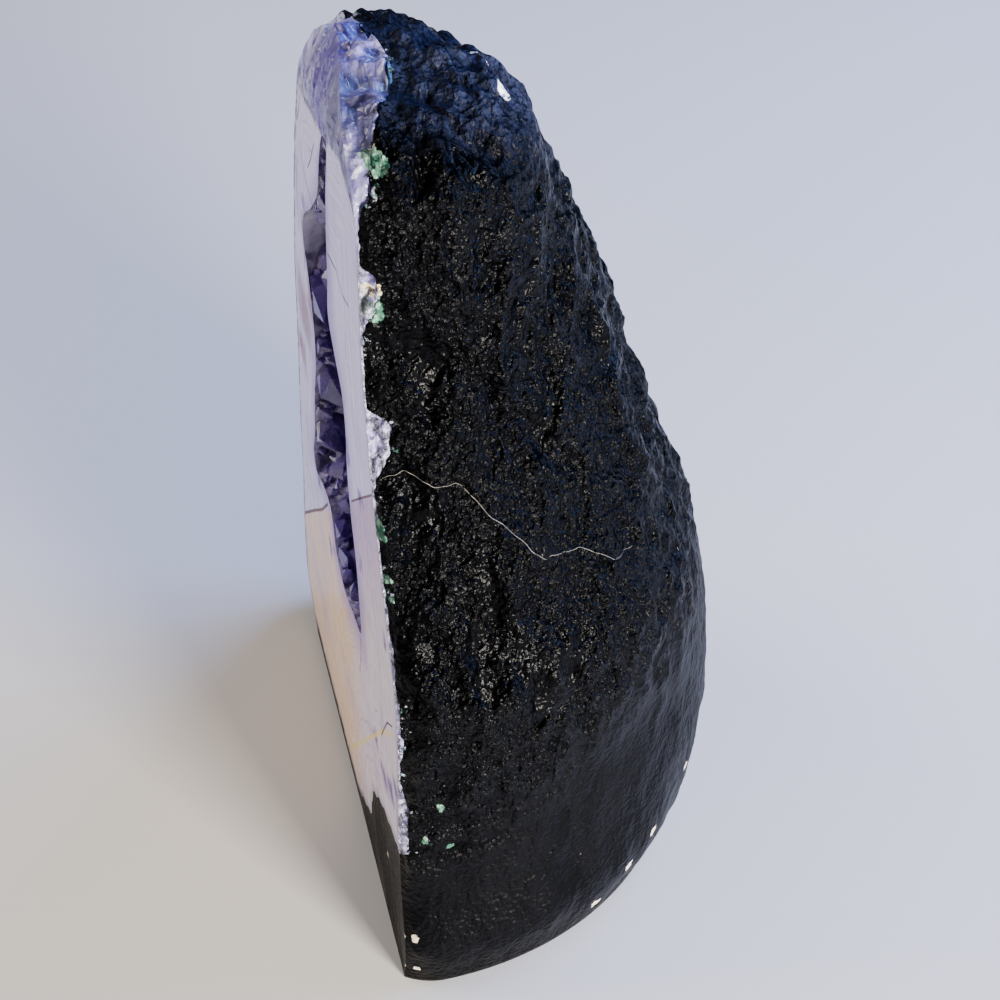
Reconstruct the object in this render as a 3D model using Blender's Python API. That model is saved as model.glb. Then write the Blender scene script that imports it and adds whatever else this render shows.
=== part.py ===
"""Cathedral amethyst geode: a split geode that stands on a levelled base.

The shapes are drawn with the flat cut face upright in the plane Y = 0, looking along -Y, the
rough back bulging towards +Y, and the base in Z = 0. An empty then carries them all, so that
the middle of the base is the origin. Units are metres. Three pieces nest in each other: the
painted rind, the quartz wall with its polished face, and the crust of crystals in the hollow.
"""
import bisect
import math
import random

import bmesh
import bpy
from mathutils import Vector, noise

# Driving dimensions
HEIGHT = 0.300
RIND_THICKNESS = 0.007
FLOOR_THICKNESS = 0.004
GAP = 0.0003
SHOULDER_SETBACK = 0.013
SHOULDER_ROUNDING = 0.042

# The outline of the whole stone, from the base up: height, right edge of the cut face,
# left edge of the cut face, and how far the back stands behind the face.
OUTLINE = (
    (0.000, 0.084, -0.076, 0.110),
    (0.020, 0.087, -0.094, 0.121),
    (0.045, 0.084, -0.092, 0.124),
    (0.075, 0.083, -0.085, 0.122),
    (0.105, 0.086, -0.081, 0.117),
    (0.130, 0.087, -0.076, 0.109),
    (0.155, 0.078, -0.071, 0.100),
    (0.180, 0.068, -0.067, 0.092),
    (0.210, 0.059, -0.058, 0.083),
    (0.240, 0.055, -0.047, 0.071),
    (0.262, 0.056, -0.036, 0.062),
    (0.280, 0.054, -0.028, 0.055),
    (0.292, 0.044, -0.017, 0.042),
    (0.298, 0.030, -0.008, 0.032),
    (0.300, 0.016, 0.000, 0.026),
)
STONE_LEVELS = 31
STONE_ARC_POINTS = 38
CORE_LEVELS = 14
CORE_ARC_POINTS = 22
CORE_SETBACK = 0.0006
CORE_LIFT = 0.0005
CUTTER_MARGIN = 0.020

# The rough top leans back behind a line that climbs across the face.
BEVEL_LEFT = (-0.034, 0.267)
BEVEL_RIGHT = (0.054, 0.294)
BEVEL_CURVE = 13.5

# The broken quartz edge that shows between the polished face and the paint: its least depth,
# its depth over the top, and the chips on the right edge as height, half length and depth.
EDGE_DEPTH = 0.0024
TOP_EDGE_DEPTH = 0.0145
TOP_EDGE_START = 0.272
EDGE_CHIPS = (
    (0.254, 0.008, 0.0065),
    (0.208, 0.009, 0.0085),
    (0.192, 0.006, 0.0035),
    (0.180, 0.005, 0.0040),
    (0.163, 0.004, 0.0020),
    (0.060, 0.010, 0.0030),
)

# The painted foot comes forward to the cut face below this line (x, z), low corner first.
FOOT_LINE = ((0.007, 0.004), (0.033, 0.022), (0.038, 0.042), (0.056, 0.055), (0.089, 0.065))
FOOT_DEPTH = 0.016

# The mouth of the hollow on the cut face (x, z), down the right side and up the left.
MOUTH = (
    (0.015, 0.277), (0.009, 0.258), (0.005, 0.240), (0.003, 0.224), (0.000, 0.210),
    (0.008, 0.202), (0.018, 0.195), (0.021, 0.184), (0.020, 0.166), (0.023, 0.151),
    (0.028, 0.136), (0.030, 0.121), (0.030, 0.108), (0.018, 0.104), (0.002, 0.099),
    (-0.012, 0.103), (-0.019, 0.116), (-0.032, 0.115), (-0.046, 0.109), (-0.051, 0.114),
    (-0.045, 0.129), (-0.040, 0.147), (-0.033, 0.165), (-0.031, 0.180), (-0.035, 0.196),
    (-0.042, 0.208), (-0.038, 0.219), (-0.022, 0.232), (-0.007, 0.247), (0.001, 0.264),
    (0.008, 0.275),
)
# The middle line of the hollow, from its foot to its tip (x, z).
MIDDLE_LINE = ((-0.006, 0.122), (-0.008, 0.150), (-0.008, 0.190), (-0.010, 0.212), (0.008, 0.262))
HOLLOW_DEPTH_SHARE = 0.60
HOLLOW_SWELL = 0.010
RIM_SETBACK = 0.0005
HOLLOW_SWELL_UPRIGHT = 0.25

# The crust of crystals
CRYSTAL_PITCH = 0.0116
RIM_CRYSTAL_PITCH = 0.0093
CRYSTAL_RINGS = 9
MOUTH_SAMPLES = 160
CRUST_WALL = 0.0022
CRYSTAL_HEIGHT = (0.0055, 0.0105)
CRYSTAL_CROWDING = 0.30
CRYSTAL_LEAN = 0.0016
CRYSTAL_SEED = 11
SHAKE_ALONG = 0.28
SHAKE_IN_DEPTH = 0.0008

# Colours of the three finishes
PAINT_COLOUR = (0.012, 0.013, 0.016, 1.0)
QUARTZ_COLOUR = (0.62, 0.58, 0.68, 1.0)
AMETHYST_COLOUR = (0.20, 0.09, 0.36, 1.0)


def smoothstep(low, high, value):
    """0 below low, 1 above high and a soft rise between them."""
    share = min(1.0, max(0.0, (value - low) / (high - low)))
    return share * share * (3.0 - 2.0 * share)


def spline_through(knots, column, value):
    """Value of one column of a table at a place between its rows, on a monotone cubic."""
    places = [row[0] for row in knots]
    value = min(places[-1], max(places[0], value))
    low = min(len(places) - 2, max(0, bisect.bisect_right(places, value) - 1))
    slopes = []
    for index in (low, low + 1):
        before = max(0, index - 1)
        after = min(len(places) - 1, index + 1)
        rise_before = rise_between(knots, column, before, index)
        rise_after = rise_between(knots, column, index, after)
        flat = rise_before * rise_after <= 0.0 and before != index != after
        slopes.append(0.0 if flat else limited_slope(rise_before, rise_after))
    width = places[low + 1] - places[low]
    share = (value - places[low]) / width
    start = knots[low][column]
    end = knots[low + 1][column]
    return (
        (1.0 + 2.0 * share) * (1.0 - share) ** 2 * start
        + share * (1.0 - share) ** 2 * width * slopes[0]
        + share ** 2 * (3.0 - 2.0 * share) * end
        + share ** 2 * (share - 1.0) * width * slopes[1]
    )


def rise_between(knots, column, first, second):
    """Slope of the straight line between two rows of a table."""
    if first == second:
        return 0.0
    return (knots[second][column] - knots[first][column]) / (knots[second][0] - knots[first][0])


def limited_slope(rise_before, rise_after):
    """Slope at a row that keeps the cubic from overshooting its rows."""
    if rise_before == 0.0 or rise_after == 0.0:
        return rise_before + rise_after
    return 2.0 * rise_before * rise_after / (rise_before + rise_after)


def bevel_setback(x, z):
    """How far the rough top stands behind the cut face, rising as the square of the height."""
    share = (x - BEVEL_LEFT[0]) / (BEVEL_RIGHT[0] - BEVEL_LEFT[0])
    line = BEVEL_LEFT[1] + share * (BEVEL_RIGHT[1] - BEVEL_LEFT[1])
    return BEVEL_CURVE * max(0.0, z - line) ** 2


def stone_ring(z, arc_points, inset):
    """One level section: a flat front, sides that swell behind it, and a half-oval back.

    x = middle + half width * cos(t) and y = centre + reach * sin(t), with t running from just
    before the right side to just past the left side, where the flat front cuts the oval.
    """
    right = spline_through(OUTLINE, 1, z) - inset
    left = spline_through(OUTLINE, 2, z) + inset
    depth = spline_through(OUTLINE, 3, z) - inset
    front_right = bevel_setback(right, z)
    front_left = bevel_setback(left, z)
    front = 0.5 * (front_right + front_left)
    centre = min(front + SHOULDER_SETBACK, 0.5 * (front + depth))
    start = math.asin((centre - front) / SHOULDER_ROUNDING)
    half_width = 0.5 * (right - left) / math.cos(start)
    middle = 0.5 * (right + left)
    ring = []
    for index in range(arc_points):
        turn = -start + (math.pi + 2.0 * start) * index / (arc_points - 1)
        if math.sin(turn) >= 0.0:
            y = centre + (depth - centre) * math.sin(turn)
        else:
            edge = front_right if turn < 0.5 * math.pi else front_left
            y = centre + (centre - edge) * math.sin(turn) / math.sin(start)
        ring.append(Vector((middle + half_width * math.cos(turn), y, z)))
    return ring


def level_heights(levels):
    """Heights from the base to the top, closer together where the top turns over."""
    shares = [index / levels for index in range(levels + 1)]
    return [HEIGHT * (0.4 * share + 0.6 * math.sin(0.5 * math.pi * share)) for share in shares]


def lump_height(point):
    """How far the rough skin stands out: tall lumps, upright ridges and small knobs."""
    x, y, z = point
    lumps = noise.noise(Vector((x, y, 0.7 * z)) * 42.0)
    ridges = 1.0 - 2.0 * abs(noise.noise(Vector((x * 70.0, y * 70.0, z * 22.0 + 4.0))))
    knobs = noise.noise(Vector((x, y, z)) * 115.0 + Vector((7.0, 3.0, 1.0)))
    rough = 0.0026 * lumps + 0.0014 * (ridges - 0.5) + 0.0017 * knobs
    foot_top = 0.045 + 0.60 * y
    smooth_foot = 0.30 + 0.70 * smoothstep(foot_top, foot_top + 0.030, z)
    return rough * smooth_foot * smoothstep(0.0, 0.012, z)


def roughen(rings):
    """Move every point of the skin along its normal; the rim of the front stays in its plane."""
    moved = []
    last_level = len(rings) - 1
    for level, ring in enumerate(rings):
        row = []
        for index, point in enumerate(ring):
            along = ring[min(index + 1, len(ring) - 1)] - ring[max(index - 1, 0)]
            upward = rings[min(level + 1, last_level)][index] - rings[max(level - 1, 0)][index]
            normal = along.cross(upward)
            if level == last_level:
                normal = Vector((0.0, 0.0, 1.0))
            if index in (0, len(ring) - 1):
                normal.y = 0.0
            if level == 0:
                normal.z = 0.0
            row.append(point + normal.normalized() * lump_height(point))
        moved.append(row)
    return moved


def loft(name, rings, material):
    """Join equal rings into one closed mesh with a flat cap at each end."""
    mesh = bmesh.new()
    rows = [[mesh.verts.new(point) for point in ring] for ring in rings]
    count = len(rings[0])
    for lower, upper in zip(rows, rows[1:]):
        for index in range(count):
            following = (index + 1) % count
            mesh.faces.new((lower[index], lower[following], upper[following]))
            mesh.faces.new((lower[index], upper[following], upper[index]))
    mesh.faces.new(tuple(reversed(rows[0])))
    mesh.faces.new(tuple(rows[-1]))
    bmesh.ops.triangulate(mesh, faces=[face for face in mesh.faces if len(face.verts) > 4])
    return object_from(name, mesh, material)


def object_from(name, mesh, material):
    """Turn a finished bmesh into an object with its faces pointing outwards."""
    bmesh.ops.recalc_face_normals(mesh, faces=mesh.faces[:])
    data = bpy.data.meshes.new(name)
    mesh.to_mesh(data)
    mesh.free()
    if material is not None:
        data.materials.append(material)
    return bpy.data.objects.new(name, data)


def stone_body(name, material):
    """The whole stone with its rough skin, before anything is cut out of it."""
    rings = [stone_ring(z, STONE_ARC_POINTS, 0.0) for z in level_heights(STONE_LEVELS)]
    return loft(name, roughen(rings), material)


def stone_core(name, inset, material):
    """The stone's shape again, smaller by the inset, for the wall between rind and quartz."""
    floor = FLOOR_THICKNESS + CORE_LIFT + (inset - RIND_THICKNESS)
    rings = []
    for z in level_heights(CORE_LEVELS):
        ring = stone_ring(z, CORE_ARC_POINTS, inset)
        lifted = floor + (z / HEIGHT) * (HEIGHT - floor - inset)
        rings.append([Vector((point.x, max(point.y, CORE_SETBACK), lifted)) for point in ring])
    return loft(name, rings, material)


def edge_depth(x, z):
    """Depth of the bare quartz edge behind the cut face, before the paint begins."""
    depth = EDGE_DEPTH + 0.0009 * noise.noise(Vector((x * 60.0, 0.0, z * 90.0)))
    top = smoothstep(TOP_EDGE_START, TOP_EDGE_START + 0.020, z + 0.10 * max(0.0, -x))
    wave = 1.0 + 0.12 * noise.noise(Vector((x * 90.0, 5.0, 0.0)))
    depth += (TOP_EDGE_DEPTH - EDGE_DEPTH) * top * wave
    for chip_height, half_length, chip_depth in EDGE_CHIPS:
        nearness = math.exp(-((z - chip_height) / half_length) ** 2)
        depth += chip_depth * nearness * smoothstep(0.0, 0.040, x)
    return depth


def front_slab(name, gap):
    """The slice at the cut face where the quartz reaches the outside: flat in front, wavy behind."""
    columns = 20
    rows = 44
    width = 0.240
    height = HEIGHT + 2.0 * CUTTER_MARGIN
    low = -CUTTER_MARGIN
    front = []
    back = []
    mesh = bmesh.new()
    for row in range(rows + 1):
        z = low + height * row / rows
        xs = [-0.5 * width + width * column / columns for column in range(columns + 1)]
        front.append([mesh.verts.new((x, -CUTTER_MARGIN, z)) for x in xs])
        back.append([mesh.verts.new((x, edge_depth(x, z) - gap, z)) for x in xs])
    for grid in (front, back):
        for row in range(rows):
            for column in range(columns):
                corner = grid[row][column]
                opposite = grid[row + 1][column + 1]
                mesh.faces.new((corner, grid[row][column + 1], opposite))
                mesh.faces.new((corner, opposite, grid[row + 1][column]))
    for row in range(rows):
        for column in (0, columns):
            mesh.faces.new((front[row][column], back[row][column],
                            back[row + 1][column], front[row + 1][column]))
    for column in range(columns):
        for row in (0, rows):
            mesh.faces.new((front[row][column], front[row][column + 1],
                            back[row][column + 1], back[row][column]))
    return object_from(name, mesh, None)


def foot_block(name, gap):
    """The block of the painted foot and floor that the quartz leaves free at the front."""
    reach = 0.130
    line = [(-reach, FLOOR_THICKNESS)] + list(FOOT_LINE) + [(reach, FOOT_LINE[-1][1] + 0.014)]
    below = [(reach, -CUTTER_MARGIN), (-reach, -CUTTER_MARGIN)]
    outline = [(x - gap, z + gap) for x, z in line] + below
    mesh = bmesh.new()
    front = [mesh.verts.new((x, -CUTTER_MARGIN, z)) for x, z in outline]
    face = mesh.faces.new(front)
    pushed = bmesh.ops.extrude_face_region(mesh, geom=[face])
    moved = [item for item in pushed["geom"] if isinstance(item, bmesh.types.BMVert)]
    bmesh.ops.translate(mesh, verts=moved, vec=(0.0, CUTTER_MARGIN + FOOT_DEPTH + gap, 0.0))
    bmesh.ops.triangulate(mesh, faces=[face for face in mesh.faces if len(face.verts) > 4])
    return object_from(name, mesh, None)


def mouth_curve(samples):
    """Even points along the rounded outline of the mouth, as (x, z)."""
    steps = 12
    fine = []
    corners = [Vector(corner) for corner in MOUTH]
    count = len(corners)
    for index in range(count):
        before, start, end, after = (corners[(index + step) % count] for step in (-1, 0, 1, 2))
        first = end - before
        second = 2.0 * before - 5.0 * start + 4.0 * end - after
        third = 3.0 * start - before - 3.0 * end + after
        for step in range(steps):
            share = step / steps
            bend = first * share + second * share ** 2 + third * share ** 3
            fine.append(start + 0.5 * bend)
    return even_points(fine, samples)


def even_points(loop, samples):
    """Points at even distances round a closed loop."""
    lengths = [0.0]
    for first, second in zip(loop, loop[1:] + loop[:1]):
        lengths.append(lengths[-1] + (second - first).length)
    points = []
    for index in range(samples):
        place = lengths[-1] * index / samples
        low = min(len(loop) - 1, bisect.bisect_right(lengths, place) - 1)
        share = (place - lengths[low]) / max(1e-9, lengths[low + 1] - lengths[low])
        points.append(loop[low].lerp(loop[(low + 1) % len(loop)], share))
    return points


def middle_point(z):
    """The point of the hollow's middle line beside a height."""
    knots = [(height, x) for x, height in MIDDLE_LINE]
    clamped = min(knots[-1][0], max(knots[0][0], z))
    return Vector((spline_through(knots, 1, clamped), clamped))


def hollow_point(mouth_point, share):
    """A point of the hollow's wall: share 0 is the mouth and share 1 the back.

    The distance from the middle line falls as a cosine and swells in between, while the depth
    grows as a sine.
    """
    middle = middle_point(mouth_point.y)
    away = mouth_point - middle
    turn = 0.5 * math.pi * share
    last = 0.5 * CRYSTAL_PITCH
    distance = last + (away.length - last) * math.cos(turn) ** 0.8
    swell = HOLLOW_SWELL * math.sin(math.pi * share)
    direction = away.normalized()
    moved = middle + direction * distance
    depth = HOLLOW_DEPTH_SHARE * spline_through(OUTLINE, 3, moved.y)
    return Vector((
        moved.x + direction.x * swell,
        RIM_SETBACK + depth * math.sin(turn),
        moved.y + direction.y * swell * HOLLOW_SWELL_UPRIGHT,
    ))


def hollow_net():
    """Crystal sites on the hollow's wall, as rings that are stitched into triangles.

    Each ring has as many sites as fit at the crystal pitch, shaken a little along the ring.
    """
    dice = random.Random(CRYSTAL_SEED)
    outline = mouth_curve(MOUTH_SAMPLES)
    mesh = bmesh.new()
    rings = []
    for ring_index in range(CRYSTAL_RINGS + 1):
        share = ring_index / CRYSTAL_RINGS
        loop = [hollow_point(point, share) for point in outline]
        length = sum((second - first).length for first, second in zip(loop, loop[1:] + loop[:1]))
        pitch = RIM_CRYSTAL_PITCH if ring_index == 0 else CRYSTAL_PITCH
        sites = even_points(loop, round(length / pitch))
        if ring_index > 0:
            sites = [shaken(site, sites[index - 1], dice) for index, site in enumerate(sites)]
        rings.append([mesh.verts.new(site) for site in sites])
    for first, second in zip(rings, rings[1:]):
        stitch(mesh, first, second)
    mesh.faces.new(tuple(rings[-1]))
    bmesh.ops.triangulate(mesh, faces=[face for face in mesh.faces if len(face.verts) > 3])
    bmesh.ops.recalc_face_normals(mesh, faces=mesh.faces[:])
    if sum(face.normal.y * face.calc_area() for face in mesh.faces) < 0.0:
        bmesh.ops.reverse_faces(mesh, faces=mesh.faces[:])
    mesh.normal_update()
    return mesh, rings[0]


def shaken(site, neighbour, dice):
    """A site moved at random along its ring and a little in depth."""
    along = (site - neighbour) * dice.uniform(-SHAKE_ALONG, SHAKE_ALONG)
    return site + along + Vector((0.0, dice.uniform(-SHAKE_IN_DEPTH, SHAKE_IN_DEPTH), 0.0))


def stitch(mesh, first, second):
    """Fill the band between two rings of unlike counts with triangles, shorter diagonal first."""
    start = min(range(len(second)), key=lambda index: (second[index].co - first[0].co).length)
    second = second[start:] + second[:start]
    step_first = 0
    step_second = 0
    while step_first < len(first) or step_second < len(second):
        here = first[step_first % len(first)]
        there = second[step_second % len(second)]
        next_here = first[(step_first + 1) % len(first)]
        next_there = second[(step_second + 1) % len(second)]
        can_first = step_first < len(first)
        can_second = step_second < len(second)
        shorter = (next_here.co - there.co).length <= (next_there.co - here.co).length
        if can_first and (shorter or not can_second):
            mesh.faces.new((here, next_here, there))
            step_first += 1
        else:
            mesh.faces.new((here, next_there, there))
            step_second += 1


def wall_normals(mesh, rim):
    """Outward directions at the sites, level with the face along the rim."""
    directions = {}
    rim_set = set(rim)
    for vert in mesh.verts:
        direction = vert.normal.copy()
        if vert in rim_set:
            direction.y = 0.0
        directions[vert] = direction.normalized()
    return directions


def hollow_cutter(name):
    """The space cut out of the quartz wall: the hollow's net, moved outwards by the gap."""
    mesh, rim = hollow_net()
    directions = wall_normals(mesh, rim)
    for vert in mesh.verts:
        vert.co += directions[vert] * GAP
    rim_edges = [edge for edge in mesh.edges if edge.is_boundary]
    pushed = bmesh.ops.extrude_edge_only(mesh, edges=rim_edges)
    moved = [item for item in pushed["geom"] if isinstance(item, bmesh.types.BMVert)]
    for vert in moved:
        vert.co.y = -0.5 * CUTTER_MARGIN
    bmesh.ops.holes_fill(mesh, edges=[edge for edge in mesh.edges if edge.is_boundary])
    bmesh.ops.triangulate(mesh, faces=[face for face in mesh.faces if len(face.verts) > 4])
    return object_from(name, mesh, None)


def crystal_crust(name, material):
    """The crust: a thin wall that follows the hollow, with one flat-faced point on every site.

    A site's point has its foot corners at the middles of the triangles round it, so that every
    crystal has as many flat faces as it has neighbours.
    """
    net, rim = hollow_net()
    directions = wall_normals(net, rim)
    dice = random.Random(CRYSTAL_SEED + 1)
    rim_set = set(rim)
    mesh = bmesh.new()
    outer = {}
    tips = {}
    for vert in net.verts:
        room = CRYSTAL_CROWDING * free_half_width(vert.co)
        wall = min(CRUST_WALL, room)
        outer[vert] = mesh.verts.new(vert.co)
        height = 0.0 if vert in rim_set else min(dice.uniform(*CRYSTAL_HEIGHT), room)
        lean = Vector([dice.uniform(-CRYSTAL_LEAN, CRYSTAL_LEAN) for _ in range(3)])
        lean *= height / CRYSTAL_HEIGHT[1]
        tips[vert] = mesh.verts.new(vert.co - directions[vert] * (wall + height) + lean)
    feet = {}
    for face in net.faces:
        centre = face.calc_center_median()
        wall = min(CRUST_WALL, CRYSTAL_CROWDING * free_half_width(centre))
        feet[face] = mesh.verts.new(centre - face.normal * wall)
        mesh.faces.new([outer[vert] for vert in face.verts])
    for edge in net.edges:
        first, second = edge.verts
        sides = [feet[face] for face in edge.link_faces]
        if len(sides) == 2:
            mesh.faces.new((tips[first], sides[0], sides[1]))
            mesh.faces.new((tips[second], sides[1], sides[0]))
        else:
            mesh.faces.new((tips[first], sides[0], tips[second]))
            mesh.faces.new((outer[first], outer[second], tips[second], tips[first]))
    net.free()
    return object_from(name, mesh, material)


def free_half_width(point):
    """Distance from a wall point to the hollow's middle line, seen from the front."""
    middle = middle_point(point.z)
    return (Vector((point.x, point.z)) - middle).length


def finish_material(name, colour, roughness):
    """A plain Principled finish for one kind of piece."""
    material = bpy.data.materials.new(name)
    material.use_nodes = True
    shader = material.node_tree.nodes["Principled BSDF"]
    shader.inputs["Base Color"].default_value = colour
    shader.inputs["Roughness"].default_value = roughness
    shader.inputs["Metallic"].default_value = 0.0
    return material


def add_boolean(piece, operation, other):
    """Cut, join or trim a piece with another object."""
    modifier = piece.modifiers.new(operation.lower(), "BOOLEAN")
    modifier.operation = operation
    modifier.solver = "EXACT"
    modifier.object = other


def hide_cutter(cutter):
    """Mark an object as a construction shape."""
    cutter.hide_render = True
    cutter.display_type = "WIRE"


def base_centre_empty(stone):
    """An empty that carries everything, so that the world's origin is the middle of the base."""
    corners = [Vector(corner) for corner in stone.bound_box]
    centre = 0.5 * (corners[0] + corners[6])
    empty = bpy.data.objects.new("geode_origin", None)
    empty.location = (-centre.x, -centre.y, 0.0)
    return empty


def main():
    """Clear the scene and build the geode's three pieces."""
    for existing in list(bpy.data.objects):
        bpy.data.objects.remove(existing, do_unlink=True)
    parts = bpy.data.collections.new("amethyst_geode")
    cutters = bpy.data.collections.new("cutters")
    bpy.context.scene.collection.children.link(parts)
    bpy.context.scene.collection.children.link(cutters)

    paint = finish_material("black_painted_rock", PAINT_COLOUR, 0.38)
    quartz = finish_material("pale_quartz", QUARTZ_COLOUR, 0.22)
    amethyst = finish_material("amethyst_crystal", AMETHYST_COLOUR, 0.08)

    slab = front_slab("front_slab_cutter", 0.0)
    slab_with_gap = front_slab("front_slab_with_gap", GAP)
    foot = foot_block("foot_block", 0.0)
    foot_with_gap = foot_block("foot_block_with_gap", GAP)
    hollow = hollow_cutter("hollow_cutter")

    inside = stone_core("rind_inside_cutter", RIND_THICKNESS, None)
    add_boolean(inside, "UNION", slab)
    add_boolean(inside, "DIFFERENCE", foot)
    rind = stone_body("painted_rind", paint)
    add_boolean(rind, "DIFFERENCE", inside)

    flange = stone_body("quartz_edge_cutter", None)
    add_boolean(flange, "INTERSECT", slab_with_gap)
    quartz_wall = stone_core("quartz_wall", RIND_THICKNESS + GAP, quartz)
    add_boolean(quartz_wall, "UNION", flange)
    add_boolean(quartz_wall, "DIFFERENCE", foot_with_gap)
    add_boolean(quartz_wall, "DIFFERENCE", hollow)

    crust = crystal_crust("amethyst_crust", amethyst)

    origin = base_centre_empty(rind)
    parts.objects.link(origin)
    for piece in (rind, quartz_wall, crust):
        parts.objects.link(piece)
        piece.parent = origin
    for cutter in (slab, slab_with_gap, foot, foot_with_gap, hollow, inside, flange):
        cutters.objects.link(cutter)
        cutter.parent = origin
        hide_cutter(cutter)


main()
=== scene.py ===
"""Looks of a split amethyst geode that stands on its own base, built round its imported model.

The shapes are drawn with the sawn face in the plane y = 0 and the base in z = 0, as in the
part's source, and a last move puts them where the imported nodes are. Every surface is a function
of two parameters worked out as whole arrays. Units are metres.
"""
from __future__ import annotations

import logging
import math
from dataclasses import dataclass
from enum import Enum

import bmesh
import bpy
import numpy as np
from mathutils import Matrix, Vector
from mathutils.geometry import delaunay_2d_cdt


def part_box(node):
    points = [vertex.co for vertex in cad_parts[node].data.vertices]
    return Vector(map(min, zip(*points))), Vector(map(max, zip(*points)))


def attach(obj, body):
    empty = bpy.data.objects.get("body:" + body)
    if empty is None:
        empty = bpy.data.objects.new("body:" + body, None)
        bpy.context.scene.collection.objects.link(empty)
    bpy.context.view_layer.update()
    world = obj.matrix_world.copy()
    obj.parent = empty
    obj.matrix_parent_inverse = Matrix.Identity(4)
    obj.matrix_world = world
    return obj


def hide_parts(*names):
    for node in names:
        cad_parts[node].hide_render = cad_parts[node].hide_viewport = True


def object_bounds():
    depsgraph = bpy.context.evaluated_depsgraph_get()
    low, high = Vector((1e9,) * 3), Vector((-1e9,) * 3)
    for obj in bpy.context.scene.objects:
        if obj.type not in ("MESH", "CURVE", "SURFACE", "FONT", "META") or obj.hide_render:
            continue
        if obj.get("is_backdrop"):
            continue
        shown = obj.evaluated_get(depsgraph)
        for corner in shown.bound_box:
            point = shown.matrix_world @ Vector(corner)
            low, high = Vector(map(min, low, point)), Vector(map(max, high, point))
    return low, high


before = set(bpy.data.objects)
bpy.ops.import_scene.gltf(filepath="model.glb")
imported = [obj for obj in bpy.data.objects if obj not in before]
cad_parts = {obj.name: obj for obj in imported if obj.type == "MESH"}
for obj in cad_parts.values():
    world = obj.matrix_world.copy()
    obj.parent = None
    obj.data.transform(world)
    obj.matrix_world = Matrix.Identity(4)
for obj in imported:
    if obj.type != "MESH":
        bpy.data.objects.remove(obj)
CAD_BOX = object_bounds()
LOG = logging.getLogger("geode")

# Where the drawing's origin lies in the frame: the sawn face is the quartz wall's front.
DRAWING_ORIGIN = np.array([0.003484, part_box("quartz_wall")[0].y, 0.0])
BODY = "root"

QUARTZ_IOR = 1.545
SHARD_LEAN = 0.454  # How far the broken columns of the top lean back, in radians.
FAR = 9.0  # A distance beyond everything.
HALVINGS = 30  # Halves a span until nothing of it is left that counts.
SIX_TURNS = (np.arange(6) * math.pi / 3.0)[None, :, None]

Pairs = tuple[tuple[float, float], ...]
Spots = tuple[tuple[float, float, float, float], ...]


def smooth_step(low: float, high: float, value: np.ndarray) -> np.ndarray:
    """Rise softly from 0 at low to 1 at high.

    Args:
        low: where the rise starts.
        high: where it ends.
        value: the values to map.

    Returns:
        Shares between 0 and 1, share squared times (3 minus 2 shares).
    """
    share = np.clip((value - low) / (high - low), 0.0, 1.0)
    return share * share * (3.0 - 2.0 * share)


def unit(vectors: np.ndarray) -> np.ndarray:
    """Vectors of length 1 in the same directions."""
    return vectors / np.maximum(1e-12, np.linalg.norm(vectors, axis=-1, keepdims=True))


def blended(first: np.ndarray, second: np.ndarray, share: np.ndarray) -> np.ndarray:
    """The points a share of the way from the first ones to the second ones."""
    return first + (second - first) * share


def on_face(x: np.ndarray, z: np.ndarray) -> np.ndarray:
    """Points in the plane of the sawn face, where y is 0."""
    return np.stack([x, 0.0 * x, z], axis=-1)


def run_lengths(chain: np.ndarray) -> np.ndarray:
    """How far along a chain of points each of them lies."""
    steps = np.linalg.norm(np.diff(chain, axis=0), axis=1)
    return np.concatenate([[0.0], np.cumsum(steps)])


def even_points(chain: np.ndarray, count: int, endpoint: bool = True) -> np.ndarray:
    """Evenly spaced points (x, z) along a chain.

    Args:
        chain: the chain's corners (x, z).
        count: how many points to take.
        endpoint: whether the last one is the chain's end.

    Returns:
        The points, on straight lines between the corners.
    """
    length = run_lengths(chain)
    place = np.linspace(0.0, length[-1], count, endpoint=endpoint)
    return np.stack([np.interp(place, length, chain[:, axis]) for axis in (0, 1)], axis=-1)


class SmoothTable:
    """A curve through the rows of a table that never overshoots them, a monotone cubic."""

    def __init__(self, places: list[float], values: list[float]) -> None:
        """Work out the slope at each row as the harmonic mean of the slopes beside it."""
        self.places = np.array(places)
        self.values = np.array(values)
        rise = np.diff(self.values) / np.diff(self.places)
        product = rise[:-1] * rise[1:]
        total = rise[:-1] + rise[1:]
        inner = np.where(product > 0.0, 2.0 * product / np.where(total == 0.0, 1.0, total), 0.0)
        self.slopes = np.concatenate([rise[:1], inner, rise[-1:]])

    @classmethod
    def of(cls, rows: tuple[tuple[float, ...], ...], place: int = 0,
           value: int = 1) -> "SmoothTable":
        """The curve through two columns of a table, the places and the values."""
        return cls([row[place] for row in rows], [row[value] for row in rows])

    def at(self, place: np.ndarray) -> np.ndarray:
        """Values of the curve, with its ends held beyond the table.

        Args:
            place: where to read the curve.

        Returns:
            The cubic between the two rows beside each place.
        """
        place = np.clip(place, self.places[0], self.places[-1])
        row = np.searchsorted(self.places, place, side="right") - 1
        low = np.clip(row, 0, len(self.places) - 2)
        width = self.places[low + 1] - self.places[low]
        share = (place - self.places[low]) / width
        rest = 1.0 - share
        return (
            (1.0 + 2.0 * share) * rest ** 2 * self.values[low]
            + share * rest ** 2 * width * self.slopes[low]
            + share ** 2 * (3.0 - 2.0 * share) * self.values[low + 1]
            - share ** 2 * rest * width * self.slopes[low + 1]
        )


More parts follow.
